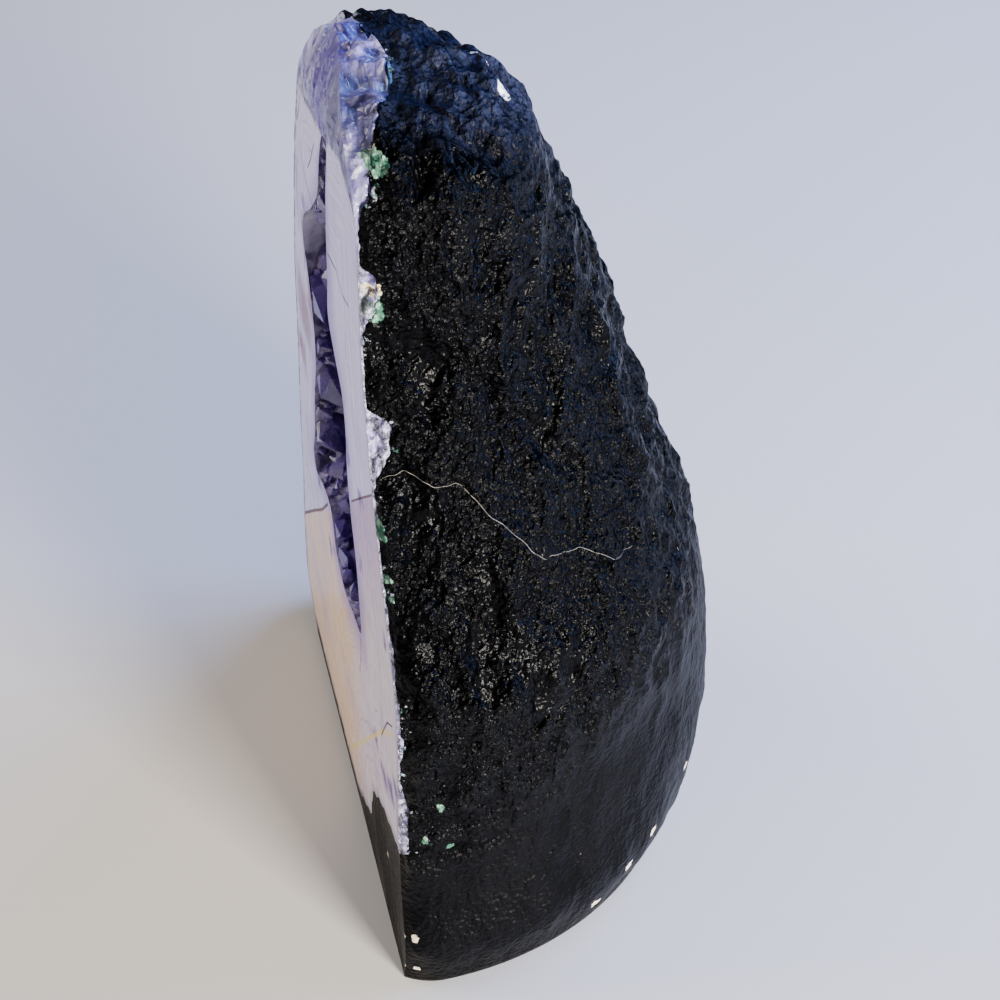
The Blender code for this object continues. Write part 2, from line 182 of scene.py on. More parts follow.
class Lumps:
    """Smooth seeded noise in space: sloping values at the corners of a grid of cubes."""

    def __init__(self, seed: int) -> None:
        """Draw 256 random slopes and the order in which the cubes use them."""
        dice = np.random.default_rng(seed)
        order = dice.permutation(256)
        self.order = np.concatenate([order, order, order[:1]])
        self.slopes = unit(dice.normal(size=(256, 3)))

    def at(self, points: np.ndarray, scale: float | tuple[float, float, float]) -> np.ndarray:
        """Noise between about -0.7 and 0.7 at each point.

        Args:
            points: places, any number of them, in metres.
            scale: cubes per metre, one number or one for each axis.

        Returns:
            The blend of the eight corners' slopes times the way from each corner.
        """
        place = points * np.array(scale)
        base = np.floor(place).astype(int)
        offset = place - base
        fade = offset ** 3 * (offset * (offset * 6.0 - 15.0) + 10.0)
        total = np.zeros(points.shape[:-1])
        for corner in np.ndindex(2, 2, 2):
            cell = (base + corner) & 255
            index = self.order[cell[..., 0]]
            index = self.order[self.order[index + cell[..., 1]] + cell[..., 2]]
            weight = np.prod(np.where(np.array(corner) == 1, fade, 1.0 - fade), axis=-1)
            total += weight * np.sum(self.slopes[index] * (offset - corner), axis=-1)
        return total


class Side(Enum):
    """The two sides of the sawn face, seen from the front."""

    RIGHT = 1
    LEFT = 2


@dataclass(frozen=True)
class StoneShape:
    """The outline of the whole stone, as in the part's source.

    Each of the rows gives a height, the right and left edges of the sawn face, and how far the
    back stands behind the face. The paint tables give heights and how far behind the face the
    paint begins there, and the foot line gives places along x and the painted foot's height.
    """

    height: float = 0.300
    shoulder_setback: float = 0.013
    shoulder_rounding: float = 0.042
    floor_thickness: float = 0.004
    bevel_left: tuple[float, float] = (-0.034, 0.267)
    bevel_right: tuple[float, float] = (0.054, 0.294)
    bevel_curve: float = 13.5
    even_share: float = 0.4
    ball_size: tuple[float, float, float] = (0.085, 0.095, 0.140)
    ball_depth: float = 0.030
    ball_height: float = 0.150
    thinnest_strip: float = 0.0004
    left_paint: Pairs = (
        (0.004, 0.0012), (0.100, 0.0024), (0.180, 0.0014), (0.265, 0.0020), (0.280, 0.0050),
        (0.292, 0.0110), (0.300, 0.0140),
    )
    right_paint: Pairs = (
        (0.058, 0.0010), (0.068, 0.0026), (0.084, 0.0027), (0.104, 0.0006), (0.122, 0.0013),
        (0.138, 0.0007), (0.149, 0.0010), (0.169, 0.0007), (0.182, 0.0005), (0.194, 0.0008),
        (0.2007, 0.0017), (0.2068, 0.0050), (0.2164, 0.0062), (0.2216, 0.0005), (0.239, 0.0004),
        (0.2472, 0.0016), (0.2530, 0.0041), (0.2624, 0.0042), (0.2670, 0.0004), (0.2773, 0.0009),
        (0.2825, 0.0024), (0.2835, 0.0038), (0.2865, 0.0046), (0.2890, 0.0056), (0.2915, 0.0068),
        (0.2940, 0.0088), (0.2965, 0.0114), (0.2980, 0.0140), (0.2992, 0.0158), (0.3000, 0.0172),
    )
    rows: Spots = (
        (0.000, 0.084, -0.076, 0.110),
        (0.020, 0.087, -0.094, 0.121),
        (0.045, 0.084, -0.092, 0.124),
        (0.075, 0.083, -0.085, 0.122),
        (0.105, 0.086, -0.081, 0.117),
        (0.130, 0.087, -0.076, 0.109),
        (0.155, 0.078, -0.071, 0.100),
        (0.180, 0.068, -0.067, 0.092),
        (0.210, 0.059, -0.058, 0.083),
        (0.240, 0.055, -0.047, 0.071),
        (0.262, 0.056, -0.036, 0.062),
        (0.280, 0.054, -0.028, 0.055),
        (0.292, 0.044, -0.017, 0.042),
        (0.298, 0.030, -0.008, 0.032),
        (0.300, 0.016, 0.000, 0.026),
    )
    foot_line: Pairs = (
        (-0.1000, 0.0040), (0.0055, 0.0040), (0.0090, 0.0062), (0.0130, 0.0080), (0.0165, 0.0120),
        (0.0220, 0.0138), (0.0260, 0.0182), (0.0310, 0.0202), (0.0335, 0.0240), (0.0340, 0.0300),
        (0.0368, 0.0345), (0.0375, 0.0405), (0.0415, 0.0445), (0.0455, 0.0462), (0.0490, 0.0512),
        (0.0550, 0.0535), (0.0590, 0.0572), (0.0650, 0.0580), (0.0695, 0.0612), (0.0760, 0.0622),
        (0.0800, 0.0648), (0.0840, 0.0645), (0.1200, 0.0740),
    )

    def column(self, index: int, z: np.ndarray) -> np.ndarray:
        """One column of the outline's table at these heights."""
        return SmoothTable.of(self.rows, 0, index).at(z)

    def right(self, z: np.ndarray) -> np.ndarray:
        """The right edge of the sawn face."""
        return self.column(1, z)

    def left(self, z: np.ndarray) -> np.ndarray:
        """The left edge of the sawn face."""
        return self.column(2, z)

    def setback(self, x: np.ndarray, z: np.ndarray) -> np.ndarray:
        """How far the rough top stands back: the square of the height over its line."""
        (left, low), (right, high) = self.bevel_left, self.bevel_right
        line = low + (high - low) / (right - left) * (x - left)
        return self.bevel_curve * np.maximum(0.0, z - line) ** 2

    def foot(self, x: np.ndarray) -> np.ndarray:
        """Height of the painted foot's upper edge on the sawn face."""
        return np.interp(x, *np.array(self.foot_line).T)

    def skin(self, z: np.ndarray, share: np.ndarray) -> np.ndarray:
        """Points of the smooth stone.

        Each level is an oval arc round the back, cut off by the flat front: x is the middle plus
        the half width times the cosine of the turn, and y the centre plus the reach times its sine.

        Args:
            z: heights.
            share: 0 at the right edge of the face, 1 at the left edge, going round the back.

        Returns:
            Points, one for each pair.
        """
        right, left, depth = self.right(z), self.left(z), self.column(3, z)
        front_right = self.setback(right, z)
        front_left = self.setback(left, z)
        front = 0.5 * (front_right + front_left)
        centre = np.minimum(front + self.shoulder_setback, 0.5 * (front + depth))
        start = np.arcsin((centre - front) / self.shoulder_rounding)
        turn = -start + (math.pi + 2.0 * start) * share
        sine = np.sin(turn)
        edge = np.where(turn < 0.5 * math.pi, front_right, front_left)
        before = centre + (centre - edge) * sine / np.sin(start)
        y = np.where(sine >= 0.0, centre + (depth - centre) * sine, before)
        x = 0.5 * (right + left) + 0.5 * (right - left) / np.cos(start) * np.cos(turn)
        return np.stack([x, y, z + 0.0 * y], axis=-1)

    def paint_depth(self, x: np.ndarray, z: np.ndarray, noise: Lumps) -> np.ndarray:
        """Depth behind the face at which the paint begins: thin at the sides, deep over the top."""
        place = on_face(x, z)
        left, right = SmoothTable.of(self.left_paint), SmoothTable.of(self.right_paint)
        depth = blended(left.at(z), right.at(z), smooth_step(0.002, 0.014, x))
        ragged = 0.0009 * noise.at(place, 150.0) + 0.0012 * noise.at(place, 420.0)
        depth = depth + ragged * (0.6 + depth / 0.015)
        foot = smooth_step(0.0, 0.0035, z - self.foot(x) - 0.0008 * noise.at(place, 400.0))
        return np.maximum(self.thinnest_strip, depth) * foot

    def halved(self, z: np.ndarray, wanted: np.ndarray,
               near: np.ndarray) -> tuple[np.ndarray, np.ndarray]:
        """Close in on where round each level the skin lies at a depth, by halving the span.

        Args:
            z: heights.
            wanted: the depth behind the face to find at each of them.
            near: the shares to start from, 0 for the right and 1 for the left.

        Returns:
            The last shares just before and just behind the wanted depth.
        """
        far = np.full_like(z, 0.5)
        for _ in range(HALVINGS):
            middle = 0.5 * (near + far)
            too_near = self.skin(z, middle)[..., 1] < wanted
            near, far = np.where(too_near, middle, near), np.where(too_near, far, middle)
        return near, far

    def share_at_depth(self, z: np.ndarray, side: Side, noise: Lumps) -> np.ndarray:
        """Where round each level the paint begins.

        Args:
            z: heights.
            side: the side of the face to start from.
            noise: what makes the edge of the paint ragged.

        Returns:
            Shares round the level, for use with skin.
        """
        edge, start = (self.right(z), 0.0) if side is Side.RIGHT else (self.left(z), 1.0)
        wanted = self.paint_depth(edge, z, noise)
        near, far = self.halved(z, wanted, np.full_like(z, start))
        return np.where(wanted > 0.0, 0.5 * (near + far), near)

    def levels(self, count: int, low: float = 0.0) -> np.ndarray:
        """Heights that stand closer where the top turns over: part even, the rest as a sine."""
        share = np.linspace(0.0, 1.0, count)
        turned = np.sin(0.5 * math.pi * share)
        height = self.height * (self.even_share * share + (1.0 - self.even_share) * turned)
        return low + height * (self.height - low) / self.height

    def outward(self, points: np.ndarray) -> np.ndarray:
        """Directions out of the stone that change smoothly everywhere, as on an oval ball."""
        x, y, z = points[..., 0], points[..., 1], points[..., 2]
        middle = 0.5 * (self.right(z) + self.left(z))
        above = np.maximum(0.0, z - self.ball_height)
        away = np.stack([x - middle, y - self.ball_depth, above], axis=-1)
        return unit(away / np.array(self.ball_size) ** 2)


@dataclass(frozen=True)
class Patches:
    """Spots on the skin: places (x, y, z) in the drawing with a radius, of several kinds."""

    green: Spots = (
        (0.0450, 0.0050, 0.2915, 0.0016), (0.0476, 0.0066, 0.2915, 0.0026),
        (0.0490, 0.0080, 0.2895, 0.0024), (0.0570, 0.0016, 0.2590, 0.0026),
        (0.0575, 0.0022, 0.2535, 0.0030), (0.0580, 0.0036, 0.2510, 0.0022),
        (0.0664, 0.0008, 0.1880, 0.0020), (0.0670, 0.0014, 0.1850, 0.0018),
        (0.0723, 0.0015, 0.1728, 0.0015), (0.0745, 0.0020, 0.1674, 0.0010),
        (0.0888, 0.0120, 0.0906, 0.0012), (0.0875, 0.0072, 0.0736, 0.0011),
        (0.0872, 0.0150, 0.0694, 0.0010), (0.0047, 0.0176, 0.2998, 0.0016),
    )
    cream: Spots = (
        (0.0567, 0.0030, 0.2600, 0.0026), (0.0420, 0.0078, 0.2950, 0.0018),
        (0.0440, 0.0070, 0.2930, 0.0014),
    )
    white_chip: Spots = (
        (0.0135, 0.0388, 0.2939, 0.0013), (0.0163, 0.0423, 0.2912, 0.0010),
        (0.0238, 0.0442, 0.2889, 0.0019),
    )
    beige_chip: Spots = (
        (0.0464, 0.1062, 0.0341, 0.0014), (0.0632, 0.0899, 0.0245, 0.0018),
        (0.0707, 0.0796, 0.0181, 0.0014), (0.0772, 0.0666, 0.0098, 0.0016),
        (0.0883, 0.0031, 0.0267, 0.0012), (0.0876, 0.0035, 0.0090, 0.0012),
        (0.0619, 0.0000, 0.0368, 0.0010),
    )
    # Painted reflection: spots of bright blue sky glint along the paint's edge over the top.
    blue: Spots = (
        (0.0212, 0.0162, 0.2990, 0.0006), (0.0228, 0.0157, 0.2989, 0.0006),
        (0.0246, 0.0151, 0.2986, 0.0006), (0.0264, 0.0145, 0.2983, 0.0005),
    )

    @staticmethod
    def blobs(points: np.ndarray, spots: Spots, off_skin: float = 0.004) -> np.ndarray:
        """Soft round spots on the skin: 1 in the middle, a half at the radius, 0 further out.

        Args:
            points: where to read the spots.
            spots: their places and radii.
            off_skin: the farthest that a place may lie off the skin and still count as on it.

        Returns:
            The strength of the nearest spot at each point.
        """
        nearest = np.full(points.shape[:-1], FAR)
        for x, y, z, radius in spots:
            away = np.linalg.norm(points - np.array([x, y, z]), axis=-1)
            on_skin = np.sqrt(np.maximum(0.0, away ** 2 - min(off_skin, away.min()) ** 2))
            nearest = np.minimum(nearest, on_skin / radius)
        return smooth_step(0.0, 1.0, 1.5 - nearest)

    def values(self, points: np.ndarray) -> dict[str, np.ndarray]:
        """All kinds at these points."""
        kinds = {"green": self.green, "cream": self.cream, "white_chip": self.white_chip,
                 "beige_chip": self.beige_chip, "blue": self.blue}
        return {kind: self.blobs(points, spots) for kind, spots in kinds.items()}


@dataclass(frozen=True)
class Relief:
    """The rough skin's relief, the same for every surface, so that neighbours meet."""

    lump: float = 0.0023
    ridge: float = 0.0024
    knob: float = 0.0025
    grain: float = 0.00080
    edge_chip: float = 0.0009
    lump_scale: tuple[float, float, float] = (42.0, 42.0, 30.0)
    ridge_scale: tuple[float, float, float] = (75.0, 75.0, 20.0)
    knob_scale: float = 125.0
    grain_scale: float = 330.0
    chip_scale: float = 260.0
    recess: tuple[float, float] = (0.0060, 0.0185)
    recess_half_width: tuple[float, float] = (0.0060, 0.0022)
    recess_depth: float = 0.0032
    foot_height: float = 0.045
    foot_rise: float = 0.60
    foot_relief: float = 0.22

    def above_foot(self, points: np.ndarray) -> np.ndarray:
        """0 on the smoother foot and 1 above it, where its height rises towards the back."""
        foot = self.foot_height + self.foot_rise * points[..., 1]
        return smooth_step(foot - 0.010, foot + 0.035, points[..., 2])

    def height(self, points: np.ndarray, noise: Lumps) -> np.ndarray:
        """How far the skin stands out: lumps, ridges, knobs and grains, less at the foot."""
        x, y, z = points[..., 0], points[..., 1], points[..., 2]
        ridges = 1.0 - 2.4 * np.abs(noise.at(points + 0.31, self.ridge_scale))
        rough = (
            self.lump * 1.5 * noise.at(points, self.lump_scale)
            + self.ridge * (ridges - 0.5)
            + self.knob * noise.at(points + 0.17, self.knob_scale)
            + self.grain * 2.0 * noise.at(points + 0.53, self.grain_scale)
        )
        smooth_foot = self.foot_relief + (1.0 - self.foot_relief) * self.above_foot(points)
        over_top = smooth_step(0.262, 0.280, z)
        from_face = smooth_step(0.0, 1.0, y / (0.0028 + 0.0085 * over_top))
        crest = 1.0 + 0.5 * smooth_step(0.278, 0.296, z)
        across = (x - self.recess[0]) / self.recess_half_width[0]
        deep = (y - self.recess[1]) / self.recess_half_width[1]
        recess = self.recess_depth * np.exp(-across ** 2 - deep ** 2)
        recess = recess * smooth_step(0.290, 0.297, z)
        return rough * crest * smooth_foot * from_face * smooth_step(0.0, 0.008, z) - recess

    def moved(self, points: np.ndarray, shape: StoneShape, noise: Lumps) -> np.ndarray:
        """The points with the relief, and with small chips broken out of the sawn edge."""
        outward = shape.outward(points)
        broken = np.maximum(0.0, noise.at(points + 0.77, self.chip_scale) + 0.05)
        chip = broken * 2.0 * self.edge_chip
        chip *= 1.0 - smooth_step(0.0, 0.003, points[..., 1])
        in_plane = outward * np.array([1.0, 0.0, 0.5])
        on_quartz = smooth_step(0.0, 0.004, points[..., 2] - shape.foot(points[..., 0]))
        inward = in_plane * (chip * on_quartz)[..., None]
        return points + outward * self.height(points, noise)[..., None] - inward


@dataclass(frozen=True)
class Hollow:
    """The hollow: its mouth on the sawn face, its middle line and how its wall runs back."""

    depth_share: float = 0.60
    swell: float = 0.010
    swell_upright: float = 0.25
    last_radius: float = 0.0058
    mouth: Pairs = (
        (0.015, 0.277), (0.009, 0.258), (0.005, 0.240), (0.003, 0.224), (0.000, 0.210),
        (0.008, 0.202), (0.018, 0.195), (0.021, 0.184), (0.020, 0.166), (0.023, 0.151),
        (0.028, 0.136), (0.030, 0.121), (0.030, 0.108), (0.018, 0.104), (0.002, 0.099),
        (-0.012, 0.103), (-0.019, 0.116), (-0.032, 0.115), (-0.046, 0.109), (-0.051, 0.114),
        (-0.045, 0.129), (-0.040, 0.147), (-0.033, 0.165), (-0.031, 0.180), (-0.035, 0.196),
        (-0.042, 0.208), (-0.038, 0.219), (-0.022, 0.232), (-0.007, 0.247), (0.001, 0.264),
        (0.008, 0.275),
    )
    middle_line: Pairs = (
        (-0.006, 0.122), (-0.008, 0.150), (-0.008, 0.190), (-0.010, 0.212), (0.008, 0.262),
    )

    def mouth_loop(self, count: int) -> np.ndarray:
        """Even points (x, z) round the mouth, on a rounded curve through its corners."""
        start = np.array(self.mouth)[:, None, :]
        before, end, after = np.roll(start, 1, 0), np.roll(start, -1, 0), np.roll(start, -2, 0)
        share = np.linspace(0.0, 1.0, 24, endpoint=False)[None, :, None]
        bend = (
            (end - before) * share
            + (2.0 * before - 5.0 * start + 4.0 * end - after) * share ** 2
            + (3.0 * start - before - 3.0 * end + after) * share ** 3
        )
        fine = (start + 0.5 * bend).reshape(-1, 2)
        return even_points(np.concatenate([fine, fine[:1]]), count, endpoint=False)

    def middle(self, z: np.ndarray) -> np.ndarray:
        """The point (x, z) of the middle line beside each height."""
        table = SmoothTable.of(self.middle_line, 1, 0)
        clamped = np.clip(z, table.places[0], table.places[-1])
        return np.stack([table.at(clamped), clamped], axis=-1)

    def wall(self, mouth: np.ndarray, share: np.ndarray, shape: StoneShape) -> np.ndarray:
        """Points of the hollow's wall.

        The distance from the middle line falls as a cosine of the share and swells in between,
        while the depth grows as its sine.

        Args:
            mouth: points (x, z) of the mouth.
            share: 0 at the mouth and 1 at the back.
            shape: the stone, for its depth at each height.

        Returns:
            Points, one for each pair.
        """
        middle = self.middle(mouth[..., 1])
        away = mouth - middle
        length = np.linalg.norm(away, axis=-1)
        turn = 0.5 * math.pi * share
        distance = self.last_radius + (length - self.last_radius) * np.cos(turn) ** 0.8
        swell = self.swell * np.sin(math.pi * share)
        direction = unit(away)
        moved = middle + direction * distance[..., None]
        depth = self.depth_share * shape.column(3, moved[..., 1])
        return np.stack([
            moved[..., 0] + direction[..., 0] * swell,
            depth * np.sin(turn),
            moved[..., 1] + direction[..., 1] * swell * self.swell_upright,
        ], axis=-1)


def grid_faces(rows: int, columns: int, flip: bool = False, closed: bool = False) -> np.ndarray:
    """Triangles of a grid of points that is stored row by row.

    Args:
        rows: how many rows of points.
        columns: how many points in a row.
        flip: whether the faces point the other way.
        closed: whether each row's last point joins its first.

    Returns:
        Two triangles for each cell, as point numbers.
    """
    row = np.arange(rows - 1)[:, None] * columns
    column = np.arange(columns if closed else columns - 1)[None, :]
    following = (column + 1) % columns
    corner, beside = row + column, row + following
    above, across = corner + columns, beside + columns
    lower = np.stack([corner, beside, across], axis=-1).reshape(-1, 3)
    upper = np.stack([corner, across, above], axis=-1).reshape(-1, 3)
    faces = np.concatenate([lower, upper])
    return faces[:, ::-1] if flip else faces


class Patchwork:
    """One piece that is put together from grids, with values on its points."""

    def __init__(self, name: str) -> None:
        """Start an empty piece."""
        self.name = name
        self.points: list[np.ndarray] = []
        self.faces: list[np.ndarray] = []
        self.values: dict[str, list[np.ndarray]] = {}
        self.count = 0

    def add(self, points: np.ndarray, faces: np.ndarray, values: dict[str, np.ndarray]) -> None:
        """Add points, their faces, and one value of each kind for each point."""
        flat = points.reshape(-1, 3)
        self.points.append(flat)
        self.faces.append(faces + self.count)
        for key, value in values.items():
            spread = np.broadcast_to(value, points.shape[:-1])
            self.values.setdefault(key, []).append(spread.ravel())
        self.count += len(flat)

    def add_grid(self, points: np.ndarray, values: dict[str, np.ndarray], flip: bool = False,
                 closed: bool = False) -> None:
        """Add a grid of points, row by row."""
        self.add(points, grid_faces(*points.shape[:2], flip, closed), values)

    def build(self, smooth: bool = True, merge: bool = True) -> bpy.types.Object:
        """Make the mesh object, move it into the frame and close its seams.

        Args:
            smooth: whether its faces are shaded as one rounded surface.
            merge: whether points at the same place become one.

        Returns:
            The new object, at the origin.
        """
        points = np.concatenate(self.points) + DRAWING_ORIGIN
        mesh = bpy.data.meshes.new(self.name)
        mesh.from_pydata(points, [], np.concatenate(self.faces))
        for key, parts in self.values.items():
            attribute = mesh.attributes.new(key, "FLOAT", "POINT")
            attribute.data.foreach_set("value", np.concatenate(parts).astype(np.float32))
        if merge:
            shell = bmesh.new()
            shell.from_mesh(mesh)
            bmesh.ops.remove_doubles(shell, verts=shell.verts[:], dist=1e-5)
            bmesh.ops.dissolve_degenerate(shell, edges=shell.edges[:], dist=1e-7)
            shell.to_mesh(mesh)
            shell.free()
        mesh.polygons.foreach_set("use_smooth", np.full(len(mesh.polygons), smooth))
        mesh.update()
        piece = bpy.data.objects.new(self.name, mesh)
        bpy.context.scene.collection.objects.link(piece)
        return piece


class Wire:
    """One output of a material's node; Python's operators on it add Math nodes."""

    def __init__(self, finish: "Finish", socket: bpy.types.NodeSocket) -> None:
        """Keep the material under construction and the socket."""
        self.finish = finish
        self.socket = socket

    def math(self, operation: str, first: object, second: object = 0.0) -> "Wire":
        """A Math node on two values or wires."""
        return self.finish.node("ShaderNodeMath", {"operation": operation}, {0: first, 1: second})

    def __add__(self, other: object) -> "Wire":
        """Self plus other."""
        return self.math("ADD", self, other)

    def __radd__(self, other: object) -> "Wire":
        """Other plus self."""
        return self.math("ADD", other, self)

    def __sub__(self, other: object) -> "Wire":
        """Self minus other."""
        return self.math("SUBTRACT", self, other)

    def __rsub__(self, other: object) -> "Wire":
        """Other minus self."""
        return self.math("SUBTRACT", other, self)

    def __mul__(self, other: object) -> "Wire":
        """Self times other."""
        return self.math("MULTIPLY", self, other)

    def __rmul__(self, other: object) -> "Wire":
        """Other times self."""
        return self.math("MULTIPLY", other, self)

    def rise(self, low: float, high: float, start: float = 0.0, end: float = 1.0) -> "Wire":
        """A soft rise from start to end while this goes from low to high."""
        settings = {"interpolation_type": "SMOOTHSTEP"}
        values = {"Value": self, "From Min": low, "From Max": high, "To Min": start, "To Max": end}
        return self.finish.node("ShaderNodeMapRange", settings, values)

    def at_least(self, other: object) -> "Wire":
        """The larger of this and other."""
        return self.math("MAXIMUM", self, other)


Colour = tuple[float, float, float, float]


def tone(red: int, green: int, blue: int) -> Colour:
    """A colour as it shows on a screen, from 0 to 255, turned into light values."""
    shares = [value / 255.0 for value in (red, green, blue)]
    light = [s / 12.92 if s <= 0.04045 else ((s + 0.055) / 1.055) ** 2.4 for s in shares]
    return (light[0], light[1], light[2], 1.0)


class Finish:
    """A node material under construction round one Principled shader."""

    def __init__(self, name: str, constants: dict[str, object]) -> None:
        """Start the material and set what is the same all over on the shader itself."""
        self.material = bpy.data.materials.new(name)
        self.material.use_nodes = True
        self.tree = self.material.node_tree
        self.shader = self.tree.nodes["Principled BSDF"]
        for key, value in constants.items():
            self.shader.inputs[key].default_value = value

    def node(self, kind: str, settings: dict[str, object] | None = None,
             inputs: dict[object, object] | None = None, output: object = 0) -> Wire:
        """Add any node.

        Args:
            kind: the node's type.
            settings: its properties; the key stops holds a ramp's places and colours.
            inputs: a value or a wire for each socket, by name or number.
            output: the name or number of the output to pass on.

        Returns:
            That output as a wire.
        """
        node = self.tree.nodes.new(kind)
        for key, value in (settings or {}).items():
            if key == "stops":
                self.set_stops(node.color_ramp.elements, value)
            else:
                setattr(node, key, value)
        for key, value in (inputs or {}).items():
            self.feed(node.inputs[key], value)
        return Wire(self, node.outputs[output])

    @staticmethod
    def set_stops(elements: bpy.types.ColorRampElements, stops: list) -> None:
        """Give a ramp its places and colours."""
        while len(elements) < len(stops):
            elements.new(1.0)
        for element, (place, colour) in zip(elements, stops):
            element.position = place
            element.color = colour

    def feed(self, socket: bpy.types.NodeSocket, value: object) -> None:
        """Link a wire to a socket, or set the socket to a plain value."""
        if isinstance(value, Wire):
            self.tree.links.new(value.socket, socket)
        else:
            socket.default_value = value

    def shade(self, **inputs: object) -> None:
        """Feed the shader; an underscore in a name stands for a space."""
        for key, value in inputs.items():
            self.feed(self.shader.inputs[key.replace("_", " ")], value)

    def place(self) -> Wire:
        """Object coordinates, in metres."""
        return self.node("ShaderNodeTexCoord", output="Object")

    def value(self, name: str) -> Wire:
        """A value kept on the piece's points."""
        return self.node("ShaderNodeAttribute", {"attribute_name": name}, output="Fac")

    def stretched(self, place: Wire, scale: tuple[float, float, float],
                  turn: tuple[float, float, float] = (0.0, 0.0, 0.0)) -> Wire:
        """Coordinates turned and scaled by axis."""
        return self.node("ShaderNodeMapping", inputs={
            "Vector": place, "Rotation": turn, "Scale": scale,
        })

    def noise(self, place: Wire, scale: float, detail: float = 3.0, roughness: float = 0.55,
              distortion: float = 0.0) -> Wire:
        """Cloudy noise from 0 to 1."""
        return self.node("ShaderNodeTexNoise", inputs={
            "Vector": place, "Scale": scale, "Detail": detail, "Roughness": roughness,
            "Distortion": distortion,
        })

    def cells(self, place: Wire, scale: float, feature: str = "F1",
              output: str = "Distance") -> Wire:
        """Distance to scattered points, in cells, or each point's own colour."""
        return self.node("ShaderNodeTexVoronoi", {"feature": feature},
                         {"Vector": place, "Scale": scale}, output=output)

    def mix(self, share: object, first: object, second: object, blend: str = "MIX") -> Wire:
        """A colour between two colours."""
        return self.node("ShaderNodeMix", {"data_type": "RGBA", "blend_type": blend},
                         {0: share, 6: first, 7: second}, output=2)

    def layered(self, colour: object, *layers: tuple[object, object]) -> Wire:
        """Colours laid one over another.

        Args:
            colour: the lowest colour.
            layers: pairs of a share and the colour that covers that share of what is below it.

        Returns:
            What shows on top.
        """
        for share, over in layers:
            colour = self.mix(share, colour, over)
        return colour

    def minerals(self, place: Wire, green: Colour, pale_green: Colour, cream: Colour,
                 creamy: Wire) -> Wire:
        """The cloudy green of the mineral patches, with cream where they are creamy."""
        cloudy = self.noise(place, 420.0).rise(0.45, 0.62)
        return self.mix(creamy.rise(0.35, 0.65), self.mix(cloudy, green, pale_green), cream)

    def ramp(self, share: Wire, stops: list[tuple[float, Colour]]) -> Wire:
        """A colour read from a ramp."""
        return self.node("ShaderNodeValToRGB", {"stops": stops}, {"Fac": share}, output="Color")

    def bump(self, height: Wire, distance: float, strength: float = 1.0,
             normal: Wire | None = None) -> Wire:
        """A normal bent by a height, with the distance in metres."""
        values = {"Height": height, "Distance": distance, "Strength": strength}
        if normal is not None:
            values["Normal"] = normal
        return self.node("ShaderNodeBump", inputs=values)

    def fill(self, absorbed: Colour, density: float) -> None:
        """Absorb one colour of the light on its way through the piece, per metre."""
        inside = self.node("ShaderNodeVolumeAbsorption", inputs={
            "Color": absorbed, "Density": density,
        })
        self.feed(self.tree.nodes["Material Output"].inputs["Volume"], inside)


